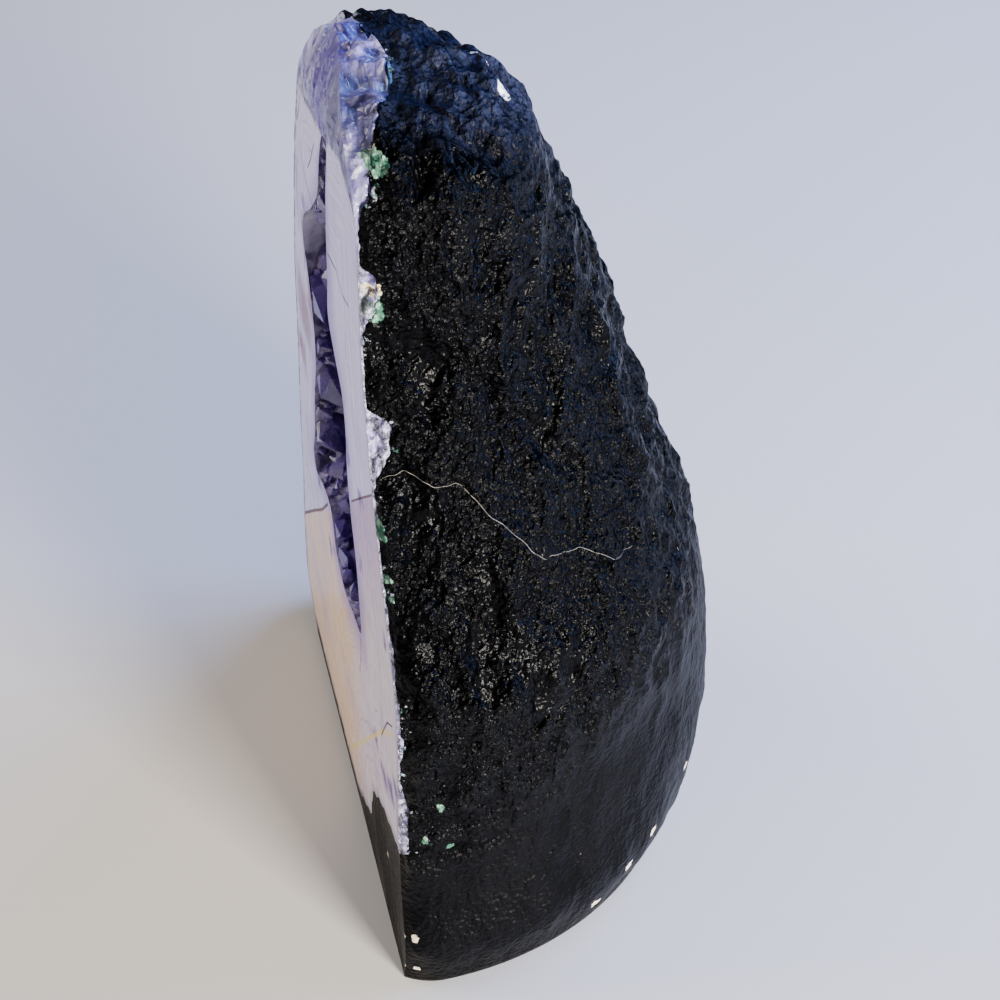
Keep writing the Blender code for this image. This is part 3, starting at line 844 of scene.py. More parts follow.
@dataclass(frozen=True)
class PaintedRock:
    """Black paint on rough rock: glossy grains, duller foot, chips, green mineral specks and
    painted blue sky reflections.
    """

    black: Colour = (0.0003, 0.0003, 0.0004, 1.0)
    grey: Colour = (0.0009, 0.0009, 0.0012, 1.0)
    dust: Colour = tone(36, 35, 36)
    # Painted reflection: a dark blue sky sheen laid on the faces that look up.
    painted_sky_sheen: Colour = tone(36, 40, 60)
    # Painted reflection: the bright blue sky glint of the spots along the paint's edge.
    painted_sky_glint: Colour = tone(96, 150, 214)
    chip_white: Colour = tone(236, 232, 226)
    chip_beige: Colour = tone(196, 182, 160)
    green: Colour = tone(46, 84, 68)
    pale_green: Colour = tone(118, 152, 130)
    cream: Colour = tone(206, 190, 150)
    crust: Colour = tone(140, 136, 156)
    specular: float = 0.035
    grain_scale: float = 720.0
    grain_bump: float = 0.0009
    pebble_scale: float = 560.0
    pebble_bump: float = 0.0011
    upright_stretch: tuple[float, float, float] = (1.0, 1.0, 0.40)
    upright_scale: float = 230.0
    upright_bump: float = 0.0034
    patch_scale: float = 52.0
    edge_scale: float = 800.0

    def build(self) -> bpy.types.Material:
        """Make the material: paint with its painted blue sky sheen, then minerals, chips, painted
        blue sky glints and flecks, then relief.
        """
        finish = Finish("painted_rock", {"IOR": 1.5, "Specular IOR Level": self.specular})
        place = finish.place()
        grain = finish.noise(place, self.grain_scale, 2.0, 0.5)
        pebbles = finish.cells(place, self.pebble_scale)
        tall = finish.stretched(place, self.upright_stretch)
        upright = finish.noise(tall, self.upright_scale)
        foot = finish.value("foot")
        patches = finish.noise(tall, self.patch_scale, 2.0)
        edge = finish.noise(place, self.edge_scale)
        ragged = (edge - 0.5) * 1.5

        mineral = finish.minerals(place, self.green, self.pale_green, self.cream,
                                  finish.value("cream") + ragged * 0.7)
        greenish = (finish.value("green") + ragged).rise(0.42, 0.60)
        white = (finish.value("white_chip") + ragged).rise(0.42, 0.55)
        beige = (finish.value("beige_chip") + ragged).rise(0.42, 0.55)
        patchy = finish.value("rim") * finish.noise(place, 85.0, 2.0).rise(0.44, 0.58)
        speck = (patchy * 0.30 + finish.noise(place, 560.0)).rise(0.83, 0.89)
        colour = finish.layered(
            self.black,
            (patches.rise(0.35, 0.70), self.grey),
            (grain.rise(0.62, 0.80) * 0.08, self.dust),
            # Painted reflection: blue sky sheen on the faces that look up.
            (finish.value("painted_sheen_up") * upright.rise(0.30, 0.62, 0.15, 0.9), self.painted_sky_sheen),
            (greenish, mineral),
            (white, self.chip_white),
            (beige, self.chip_beige),
            # Painted reflection: blue sky glints at the spots on the top edge.
            ((finish.value("blue") + ragged * 0.5).rise(0.62, 0.80), self.painted_sky_glint),
            (speck, finish.mix(edge.rise(0.44, 0.56), self.crust, self.green)),
        )

        bare = greenish.at_least(white).at_least(beige).at_least(speck)
        gloss = patches.rise(0.30, 0.72, 0.17, 0.30) + foot * 0.16 + bare * 0.30
        relief = (1.0 - foot * 0.60) * patches.rise(0.36, 0.52, 0.35, 1.0)
        normal = finish.bump(upright * relief, self.upright_bump)
        normal = finish.bump(pebbles * relief, self.pebble_bump, normal=normal)
        normal = finish.bump(grain * relief, self.grain_bump, normal=normal)
        finish.shade(Base_Color=colour, Roughness=gloss, Normal=normal)
        return finish.material


@dataclass(frozen=True)
class PolishedQuartz:
    """The sawn and polished face: pale banded quartz with a seam, a stripe and fine cracks."""

    cool: Colour = tone(192, 182, 220)
    pale: Colour = tone(224, 218, 240)
    lilac: Colour = tone(146, 118, 182)
    beige: Colour = tone(228, 192, 150)
    pinkish: Colour = tone(180, 142, 168)
    blush: Colour = tone(214, 198, 204)
    violet: Colour = tone(84, 50, 140)
    seam: Colour = tone(80, 50, 32)
    brown: Colour = tone(140, 98, 106)
    stripe: Colour = tone(230, 208, 130)
    crack: Colour = tone(40, 28, 50)
    rim_grey: Colour = tone(120, 122, 124)
    band_scale: float = 0.9
    mottle_scale: float = 150.0
    cloud_scale: float = 32.0
    hairline_scale: float = 85.0
    crack_bump: float = 0.0003

    def build(self) -> bpy.types.Material:
        """Make the material: bands, the zones of its rims, patches, lines, then the polish."""
        finish = Finish("polished_quartz", {
            "IOR": QUARTZ_IOR, "Specular IOR Level": 0.0, "Coat IOR": 1.5, "Coat Roughness": 0.08,
            "Subsurface Weight": 0.10, "Subsurface Radius": (0.004, 0.0035, 0.005),
            "Subsurface Scale": 1.0,
        })
        place = finish.place()
        rim = finish.value("rim")
        warp = finish.noise(place, 60.0) - 0.5
        bands = finish.node("ShaderNodeCombineXYZ", inputs={
            0: finish.value("rim_distance") * 1000.0 + warp * 3.0, 1: rim, 2: 0.0,
        })
        streaks = finish.noise(bands, self.band_scale, 4.0, 0.6)
        mottle = finish.noise(place, self.mottle_scale, 4.0, 0.6)
        cloud = finish.noise(place, self.cloud_scale, 2.0)

        right = finish.value("right_side")
        rosy = finish.mix(finish.value("low"), self.pinkish, self.blush)
        warm = finish.layered(
            self.beige,
            (right, rosy),
            (streaks.rise(0.35, 0.65) * 0.30, self.pale),
            (streaks.rise(0.45, 0.28) * right * 0.65, self.lilac),
        )
        inner = (rim + (mottle - 0.5) * 0.25).rise(0.72, 1.02)
        outer = (rim + (mottle - 0.5) * 0.10).rise(0.07, 0.0)
        chipped = finish.value("rim_distance").rise(0.0030, 0.0012) * (1.0 - right)
        ragged = (mottle - 0.5) * 1.0 + (streaks - 0.5) * 0.9
        veins = (finish.value("violet") + ragged).rise(0.40, 0.95)
        muddy = (finish.value("brown") + (streaks - 0.5) * 0.8).rise(0.30, 0.90)
        zones = finish.layered(
            self.cool,
            (streaks.rise(0.32, 0.70), self.pale),
            (finish.value("below_seam"), warm),
            (inner * 0.75, self.lilac),
            (outer * 0.6, self.rim_grey),
            (chipped * mottle.rise(0.42, 0.54) * 0.8, self.crack),
            (cloud.rise(0.45, 0.75) * 0.30, self.lilac),
            (veins * 0.85, self.violet),
            (muddy * 0.80, self.brown),
        )
        lighter = (mottle - 0.5).rise(0.0, 0.25) * 0.22
        zones = finish.mix(lighter, zones, (1.0, 1.0, 1.0, 1.0), "SOFT_LIGHT")

        seam = finish.value("seam").rise(0.25, 0.7)
        cracks = finish.value("crack").rise(0.2, 0.7)
        leaning = finish.stretched(place, (1.0, 1.0, 0.35), (0.0, 0.12, 0.0))
        hairline = finish.cells(leaning, self.hairline_scale, "DISTANCE_TO_EDGE")
        scratches = hairline.rise(0.012, 0.0) * mottle.rise(0.52, 0.60)
        colour = finish.layered(
            zones,
            (finish.value("stripe").rise(0.2, 0.8) * 0.75, self.stripe),
            (seam * 0.8, self.seam),
            (cracks * 0.85, self.crack),
            (scratches * 0.55, self.crack),
        )

        open_cracks = cracks.at_least(scratches).at_least(seam)
        normal = finish.bump(1.0 - open_cracks, self.crack_bump, 0.5)
        coat = mottle.rise(0.25, 0.75, 0.50, 0.28) * (1.0 - open_cracks * 0.9)
        finish.shade(Base_Color=colour, Roughness=0.6, Normal=normal, Coat_Weight=coat)
        return finish.material


@dataclass(frozen=True)
class BrokenQuartz:
    """The broken edge and the rough top: columns of milky quartz, lilac to violet, with painted
    glints and a painted blue sky sheen.
    """

    pale: Colour = tone(184, 178, 216)
    milky: Colour = tone(140, 132, 188)
    lilac: Colour = tone(100, 88, 154)
    violet: Colour = tone(80, 58, 148)
    # Painted reflection: a blue sky sheen on the right of the rough top.
    painted_sky_tint: Colour = tone(80, 76, 118)
    frost: Colour = tone(206, 202, 236)
    ash: Colour = tone(104, 102, 116)
    paint: Colour = (0.003, 0.003, 0.004, 1.0)
    white: Colour = tone(206, 202, 222)
    grey: Colour = tone(76, 66, 116)
    dark: Colour = tone(44, 41, 48)
    # Painted reflection: the bright blue sky glint of the spots along the paint's edge.
    painted_sky_glint: Colour = tone(96, 150, 214)
    green: Colour = tone(54, 94, 76)
    pale_green: Colour = tone(122, 156, 134)
    cream: Colour = tone(210, 196, 160)
    column_stretch: tuple[float, float, float] = (1.0, 1.0, 0.16)
    column_scale: float = 200.0
    fine_scale: float = 520.0
    fine_bump: float = 0.0006
    shard_scale: float = 420.0
    shard_bump: float = 0.0009
    pit_scale: float = 430.0
    pit_bump: float = 0.0026

    def build(self) -> bpy.types.Material:
        """Make the material: columns and their tints, painted sky sheen, painted glints, minerals,
        pitted crust, then the relief.
        """
        finish = Finish("broken_quartz", {
            "IOR": QUARTZ_IOR, "Subsurface Weight": 0.12,
            "Subsurface Radius": (0.005, 0.004, 0.007), "Subsurface Scale": 1.0,
        })
        place = finish.place()
        turned = finish.stretched(place, (1.0, 1.0, 1.0), (SHARD_LEAN, 0.0, 0.0))
        flow = finish.stretched(turned, self.column_stretch)
        columns = finish.noise(flow, self.column_scale, distortion=0.6)
        fine = finish.noise(flow, self.fine_scale, 2.0, 0.6)
        cloud = finish.noise(place, 70.0)
        shards = finish.cells(flow, self.shard_scale, output="Color")
        shard = finish.node("ShaderNodeSeparateColor", inputs={0: shards})
        pits = finish.noise(place, self.pit_scale, 4.0, 0.65)

        top = finish.value("top")
        violet = (finish.value("violet_band") + (columns - 0.5) * 1.1).rise(0.30, 0.75)
        frosty = finish.value("pale_left") * columns.rise(0.30, 0.60)
        # Painted reflection: share of blue sky sheen on the right of the top.
        blue = (finish.value("painted_sky_tint") + (fine - 0.5) * 0.6).rise(0.35, 0.85)
        # Painted highlights: white glints on a few shards.
        painted_glint = shard.rise(0.90, 0.95) * fine.rise(0.48, 0.56)
        ragged = (finish.noise(place, 500.0, 2.0) - 0.5) * 1.2
        green = (finish.value("green") + ragged).rise(0.45, 0.65)
        mineral = finish.minerals(place, self.green, self.pale_green, self.cream,
                                  finish.value("cream"))
        crust = (1.0 - top) * finish.noise(place, 120.0, 2.0).rise(0.30, 0.42)
        painted = (finish.value("edge") * 0.30 + finish.noise(place, 560.0)).rise(0.84, 0.88)
        colour = finish.layered(
            finish.ramp(columns, [(0.36, self.lilac), (0.50, self.milky), (0.64, self.pale)]),
            (violet * 0.80, self.violet),
            (frosty * 0.6, self.frost),
            # Painted reflection: the blue sky sheen.
            (blue * 0.80, self.painted_sky_tint),
            (cloud.rise(0.52, 0.70) * (1.0 - top) * 0.5, self.white),
            (fine.rise(0.47, 0.37) * 0.60, self.grey),
            (fine.rise(0.56, 0.68) * (1.0 - top * 0.45) * 0.50, self.white),
            # Painted highlights: the white glints.
            (painted_glint * 0.75, self.white),
            (green, mineral),
            (crust * 0.60, self.ash),
            (pits.rise(0.49, 0.41) * crust * 0.92, self.dark),
            (pits.rise(0.55, 0.62) * crust * 0.85, self.white),
            (painted, self.paint),
            # Painted reflection: blue sky glints at the spots on the top edge.
            ((finish.value("blue") + (pits - 0.5) * 0.8).rise(0.62, 0.80), self.painted_sky_glint),
        )

        roughness = shard.rise(0.1, 0.9, 0.14, 0.55)
        normal = finish.bump(shard, self.shard_bump, 0.55)
        normal = finish.bump(fine, self.fine_bump, 0.6, normal)
        normal = finish.bump(pits * crust, self.pit_bump, normal=normal)
        finish.shade(Base_Color=colour, Roughness=roughness, Normal=normal)
        return finish.material


@dataclass(frozen=True)
class DruseWall:
    """The ground on which the crystals stand: pale quartz at the mouth, violet further in."""

    pale: Colour = tone(188, 176, 208)
    violet: Colour = tone(84, 54, 134)
    dark: Colour = tone(46, 26, 82)
    smoky: Colour = tone(236, 230, 250)
    grain_scale: float = 330.0
    grain_bump: float = 0.0012
    cloud_scale: float = 120.0

    def build(self) -> bpy.types.Material:
        """Make the material."""
        finish = Finish("druse_wall", {"IOR": QUARTZ_IOR})
        place = finish.place()
        inside = finish.value("inside")
        grain = finish.cells(place, self.grain_scale)
        cloud = finish.noise(place, self.cloud_scale)
        bare = finish.value("bare")
        colour = finish.layered(
            self.pale,
            ((inside + (cloud - 0.5) * 0.12).rise(0.02, 0.16), self.violet),
            (cloud.rise(0.40, 0.70), self.dark),
            (bare.rise(0.2, 0.6) * cloud.rise(0.30, 0.60, 1.0, 0.7), self.smoky),
        )
        normal = finish.bump(grain * (1.0 - bare), self.grain_bump, 0.8)
        finish.shade(Base_Color=colour, Roughness=grain.rise(0.0, 0.8, 0.10, 0.34), Normal=normal)
        return finish.material


@dataclass(frozen=True)
class ClearAmethyst:
    """Clear amethyst: see-through, pale at the root and violet towards the tip."""

    root: Colour = tone(206, 190, 214)
    body: Colour = tone(164, 142, 218)
    tip: Colour = tone(124, 92, 194)
    absorbed: Colour = (0.40, 0.20, 0.72, 1.0)
    absorption: float = 72.0
    cloud_scale: float = 260.0
    growth_scale: float = 900.0
    growth_bump: float = 0.00012

    def build(self) -> bpy.types.Material:
        """Make the material."""
        finish = Finish("clear_amethyst", {"IOR": QUARTZ_IOR, "Transmission Weight": 0.70})
        place = finish.place()
        height = finish.value("height")
        tint = finish.value("tint")
        cloud = finish.noise(place, self.cloud_scale)
        share = height + (cloud - 0.5) * 0.5 + (tint - 0.5) * 0.5
        colour = finish.ramp(share, [(0.05, self.root), (0.45, self.body), (0.95, self.tip)])
        growth = finish.noise(place, self.growth_scale, 2.0)
        normal = finish.bump(growth, self.growth_bump, 0.35)
        finish.shade(Base_Color=colour, Roughness=cloud.rise(0.3, 0.8, 0.08, 0.24), Normal=normal)
        finish.fill(self.absorbed, self.absorption)
        return finish.material


@dataclass(frozen=True)
class HairFinish:
    """The dull pale colour of the root hair, faded in places."""

    colour: Colour = tone(128, 122, 112)
    faded: Colour = tone(66, 62, 60)

    def build(self) -> bpy.types.Material:
        """Make the material."""
        finish = Finish("root_hair", {"Roughness": 0.6})
        fresh = finish.noise(finish.place(), 240.0).rise(0.35, 0.65)
        finish.shade(Base_Color=finish.mix(fresh, self.faded, self.colour))
        return finish.material


@dataclass(frozen=True)
class PaleFloor:
    """A plain pale floor."""

    colour: Colour = (0.68, 0.64, 0.59, 1.0)

    def build(self) -> bpy.types.Material:
        """Make the material."""
        return Finish("pale_floor", {"Roughness": 0.7, "Base Color": self.colour}).material


@dataclass
class PaintedRind:
    """The rough painted skin: back, sides, underside and the foot on the sawn face."""

    shape: StoneShape
    relief: Relief
    patches: Patches
    noise: Lumps
    columns: int = 340
    levels: int = 236
    cap_rows: int = 12
    foot_columns: int = 150
    foot_rows: int = 56
    floor_rows: int = 8
    film: float = 0.0007
    rim_width: float = 0.0055
    base_middle: tuple[float, float, float] = (0.0, 0.055, 0.0)

    def values(self, points: np.ndarray) -> dict[str, np.ndarray]:
        """Foot, the upward lie that carries a painted sky sheen, nearness to the paint's edge,
        patches and chips at each point.
        """
        x, y, z = points[..., 0], points[..., 1], points[..., 2]
        # Share of painted blue sky sheen: where the skin faces up.
        painted_sheen_up = smooth_step(0.82, 0.99, self.shape.outward(points)[..., 2])
        from_edge = y - self.shape.paint_depth(x, z, self.noise)
        near_edge = 1.0 - smooth_step(0.0, self.rim_width, from_edge)
        return {
            "foot": 1.0 - self.relief.above_foot(points),
            "painted_sheen_up": painted_sheen_up,
            "rim": near_edge * smooth_step(0.0, 0.003, z - self.shape.foot(x)),
            **self.patches.values(points),
        }

    def skin_rows(self, heights: np.ndarray) -> np.ndarray:
        """The skin from the edge of the paint on the right, round the back, to the left."""
        first = self.shape.share_at_depth(heights, Side.RIGHT, self.noise)[:, None]
        last = self.shape.share_at_depth(heights, Side.LEFT, self.noise)[:, None]
        across = np.linspace(0.0, 1.0, self.columns)[None, :]
        return self.shape.skin(heights[:, None] + 0.0 * across, blended(first, last, across))

    def cap(self, ring: np.ndarray) -> np.ndarray:
        """The flat top behind the edge of the paint, from the ring in to the straight chord."""
        across = np.linspace(0.0, 1.0, self.columns)[None, :, None]
        chord = blended(ring[0], ring[-1], across)
        inward = np.linspace(0.0, 1.0, self.cap_rows)[:, None, None]
        return blended(ring[None], chord, inward)

    def foot_patch(self) -> np.ndarray:
        """The painted part of the sawn face, from the base up to the foot's upper edge."""
        across = np.linspace(0.0, 1.0, self.foot_columns)
        top = np.full(self.foot_columns, 0.03)
        for _ in range(12):
            x = blended(self.shape.left(top), self.shape.right(top), across)
            top = self.shape.foot(x)
        up = np.linspace(0.0, 1.0, self.foot_rows)[:, None]
        z = up * top[None, :]
        return on_face(blended(self.shape.left(z), self.shape.right(z), across[None, :]), z)

    def dressed(self, points: np.ndarray) -> np.ndarray:
        """The points with their relief."""
        return self.relief.moved(points, self.shape, self.noise)

    def build(self) -> bpy.types.Object:
        """Make the piece."""
        work = Patchwork("painted_rind_skin")
        heights = self.shape.levels(self.levels)
        smooth = self.skin_rows(heights)
        skin = self.dressed(smooth)
        outward = self.shape.outward(smooth)
        for column in (0, -1):
            tucked = skin[:, column] - outward[:, column] * self.film
            edge = np.stack([tucked, skin[:, column]], axis=1)
            work.add_grid(edge, self.values(edge), flip=column == -1)
        work.add_grid(skin, self.values(smooth))
        cap = self.cap(smooth[-1])
        work.add_grid(self.dressed(cap), self.values(cap))
        patch = self.foot_patch()
        work.add_grid(self.dressed(patch), self.values(patch))
        inward = np.linspace(0.0, 1.0, self.floor_rows)[:, None, None]
        for ring, flip in ((smooth[0], True), (patch[0], False)):
            base = blended(ring[None], np.array(self.base_middle), inward)
            work.add_grid(base, self.values(base), flip=flip)
        return work.build()


@dataclass
class QuartzEdge:
    """The broken quartz between the polished face and the paint, and the rough top.

    A strip runs up the left edge of the face, over the top and down the right edge, from the
    face back to the paint. Over the top, a second grid joins the strip to the polished face.
    """

    shape: StoneShape
    relief: Relief
    patches: Patches
    noise: Lumps
    side_columns: int = 380
    cap_columns: int = 24
    rows: int = 22
    bevel_rows: int = 44
    tuck: float = 0.0009
    past_edge: tuple[float, ...] = (1.05, 1.12)
    rough: float = 0.0014
    bevel_out: tuple[float, float, float] = (0.0, -0.75, 0.66)
    bevel_edge: Pairs = (
        (-0.0340, 0.2665), (-0.0200, 0.2700), (-0.0060, 0.2738), (0.0080, 0.2752), (0.0210, 0.2795),
        (0.0350, 0.2838), (0.0440, 0.2826), (0.0541, 0.2795),
    )

    def steps_back(self) -> np.ndarray:
        """Steps from the face at 0 to the paint's edge at 1, and two more under the paint."""
        return np.concatenate([np.linspace(0.0, 1.0, self.rows), self.past_edge])[:, None]

    def strip(self) -> np.ndarray:
        """The smooth strip, a row of points for each step back from the face."""
        back = self.steps_back()
        heights = self.shape.levels(self.side_columns, self.shape.floor_thickness)[None, :]
        right = self.shape.share_at_depth(heights[0], Side.RIGHT, self.noise)[None, :]
        left = self.shape.share_at_depth(heights[0], Side.LEFT, self.noise)[None, :]
        level = heights + 0.0 * back
        left_side = self.shape.skin(level, 1.0 - (1.0 - left) * back)
        right_side = self.shape.skin(level, right * back)[:, ::-1]
        across = np.linspace(0.0, 1.0, self.cap_columns)[None, 1:-1, None]
        cap = blended(left_side[:, -1:], right_side[:, :1], across)
        return np.concatenate([left_side, cap, right_side], axis=1)

    def bevel_columns(self, front: np.ndarray) -> np.ndarray:
        """Numbers of the strip's columns over the rough top, between the bevel's two ends."""
        number = np.arange(front.shape[0])
        top = number[len(number) // 2]
        start = number[(number < top) & (front[:, 2] >= self.bevel_edge[0][1])][0]
        end = number[(number > top) & (front[:, 2] >= self.bevel_edge[-1][1])][-1]
        return np.arange(start, end + 1)

    def bevel_line(self, front: np.ndarray) -> np.ndarray:
        """The polished face's upper edge, one point for each of the strip's columns over it."""
        length = run_lengths(front)
        share = length / length[-1]
        table = SmoothTable.of(self.bevel_edge)
        x = blended(front[0, 0], front[-1, 0], share)
        place = on_face(x, 0.0 * x)
        wiggle = 0.0014 * self.noise.at(place, 160.0) + 0.0008 * self.noise.at(place, 520.0)
        wiggle *= np.sqrt(np.maximum(0.0, np.sin(math.pi * share)))
        start, end = table.at(front[[0, -1], 0])
        to_ends = blended(front[0, 2], front[-1, 2], share) - blended(start, end, share)
        return on_face(x, table.at(x) + to_ends + wiggle)

    def bevel(self, line: np.ndarray, front: np.ndarray) -> np.ndarray:
        """The smooth rough top: it leans back as the square of the height over the bevel's line."""
        up = np.linspace(0.0, 1.0, self.bevel_rows)[:, None]
        x = blended(line[None, :, 0], front[None, :, 0], up)
        z = blended(line[None, :, 2], front[None, :, 2], up)
        off = front[:, 1] - self.shape.setback(front[:, 0], front[:, 2])
        y = self.shape.setback(x, z) + off[None, :] * up
        return np.stack([x, y, z], axis=-1)

    def shards(self, points: np.ndarray) -> np.ndarray:
        """Heights of the broken columns, which run up and back at a lean."""
        sine, cosine = math.sin(SHARD_LEAN), math.cos(SHARD_LEAN)
        lengthwise = points[..., 1] * sine + points[..., 2] * cosine
        crosswise = points[..., 1] * cosine - points[..., 2] * sine
        flow = np.stack([points[..., 0], crosswise, 0.22 * lengthwise], axis=-1)
        steps = self.noise.at(flow + 0.21, 210.0) * 1.3
        stepped = np.floor(steps * 3.0) / 3.0
        return self.rough * (0.7 * steps + 0.6 * stepped + 0.6 * self.noise.at(points + 0.4, 420.0))

    def values(self, points: np.ndarray, back: np.ndarray) -> dict[str, np.ndarray]:
        """Values for the material: nearness to the paint, where the colours lie and where the
        painted sky sheen lies.
        """
        x, y, z = points[..., 0], points[..., 1], points[..., 2]
        band = smooth_step(0.266, 0.275, z) * np.exp(-((x - 0.002) / 0.017) ** 2)
        return {
            "edge": smooth_step(0.45, 1.0, back) + 0.0 * x,
            "top": smooth_step(0.262, 0.276, z),
            "violet_band": band * (1.0 - 0.5 * smooth_step(0.006, 0.014, y)),
            # Share of painted blue sky sheen: the right of the rough top.
            "painted_sky_tint": smooth_step(0.0, 0.030, x) * smooth_step(0.240, 0.270, z),
            "pale_left": smooth_step(0.004, 0.018, -x) * smooth_step(0.255, 0.265, z),
            **self.patches.values(points),
        }

    def build(self) -> tuple[bpy.types.Object, np.ndarray]:
        """Make the piece.

        Returns:
            The piece, and the polished face's outline on its left, top and right (x, z).
        """
        work = Patchwork("quartz_broken_edge")
        strip = self.strip()
        front = strip[0]
        back = self.steps_back()
        across = np.concatenate([
            np.zeros((1, strip.shape[1])),
            np.cumsum(np.linalg.norm(np.diff(strip, axis=0), axis=-1), axis=0),
        ])
        outward = self.shape.outward(strip)
        free = smooth_step(0.0, 0.0016, across) * (1.0 - smooth_step(0.90, 1.0, back))
        tucked = self.tuck * smooth_step(0.93, 1.02, back)
        dressed = self.relief.moved(strip, self.shape, self.noise)
        dressed += outward * (self.shards(strip) * free - tucked)[..., None]

        chosen = self.bevel_columns(front)
        line = self.bevel_line(front[chosen])
        bevel = self.bevel(line, front[chosen])
        up = np.linspace(0.0, 1.0, self.bevel_rows)[:, None]
        bevel_across = -np.linalg.norm(bevel - bevel[-1:], axis=-1)
        inside = np.sqrt(np.maximum(0.0, np.sin(math.pi * up)))
        inside = inside * smooth_step(0.0, 0.004, -bevel_across)
        inside = inside * (1.0 - smooth_step(-0.0015, 0.0, bevel_across))
        top_dressed = self.relief.moved(bevel, self.shape, self.noise)
        top_dressed += unit(np.array(self.bevel_out)) * (self.shards(bevel) * inside)[..., None]
        work.add_grid(dressed, self.values(strip, back), flip=True)
        work.add_grid(top_dressed, self.values(bevel, 0.0 * up), flip=True)

        above = front[:, 2] > self.shape.foot(front[:, 0]) - 0.0005
        number = np.arange(front.shape[0])
        left = dressed[0, (number < chosen[0]) & above]
        right = dressed[0, (number > chosen[-1]) & above]
        outline = np.concatenate([left, top_dressed[0], right])
        return work.build(smooth=False), outline[:, [0, 2]]


@dataclass(frozen=True)
class FaceLine:
    """A thin line on the polished face: its corners (x, z), its half width and its kind."""

    corners: Pairs
    half_width: float
    kind: str

    def points(self, step: float) -> np.ndarray:
        """Even points along the line."""
        corners = np.array(self.corners)
        return even_points(corners, max(2, int(run_lengths(corners)[-1] / step)))

    def nearness(self, places: np.ndarray) -> np.ndarray:
        """1 on the line and 0 at its half width, by the distance to the nearest stretch."""
        corners = np.array(self.corners)
        nearest = np.full(len(places), FAR)
        for start, end in zip(corners[:-1], corners[1:]):
            way = end - start
            share = np.clip((places - start) @ way / (way @ way), 0.0, 1.0)[:, None]
            nearest = np.minimum(nearest, np.linalg.norm(places - start - way * share, axis=1))
        return np.clip(1.0 - nearest / self.half_width, 0.0, 1.0)


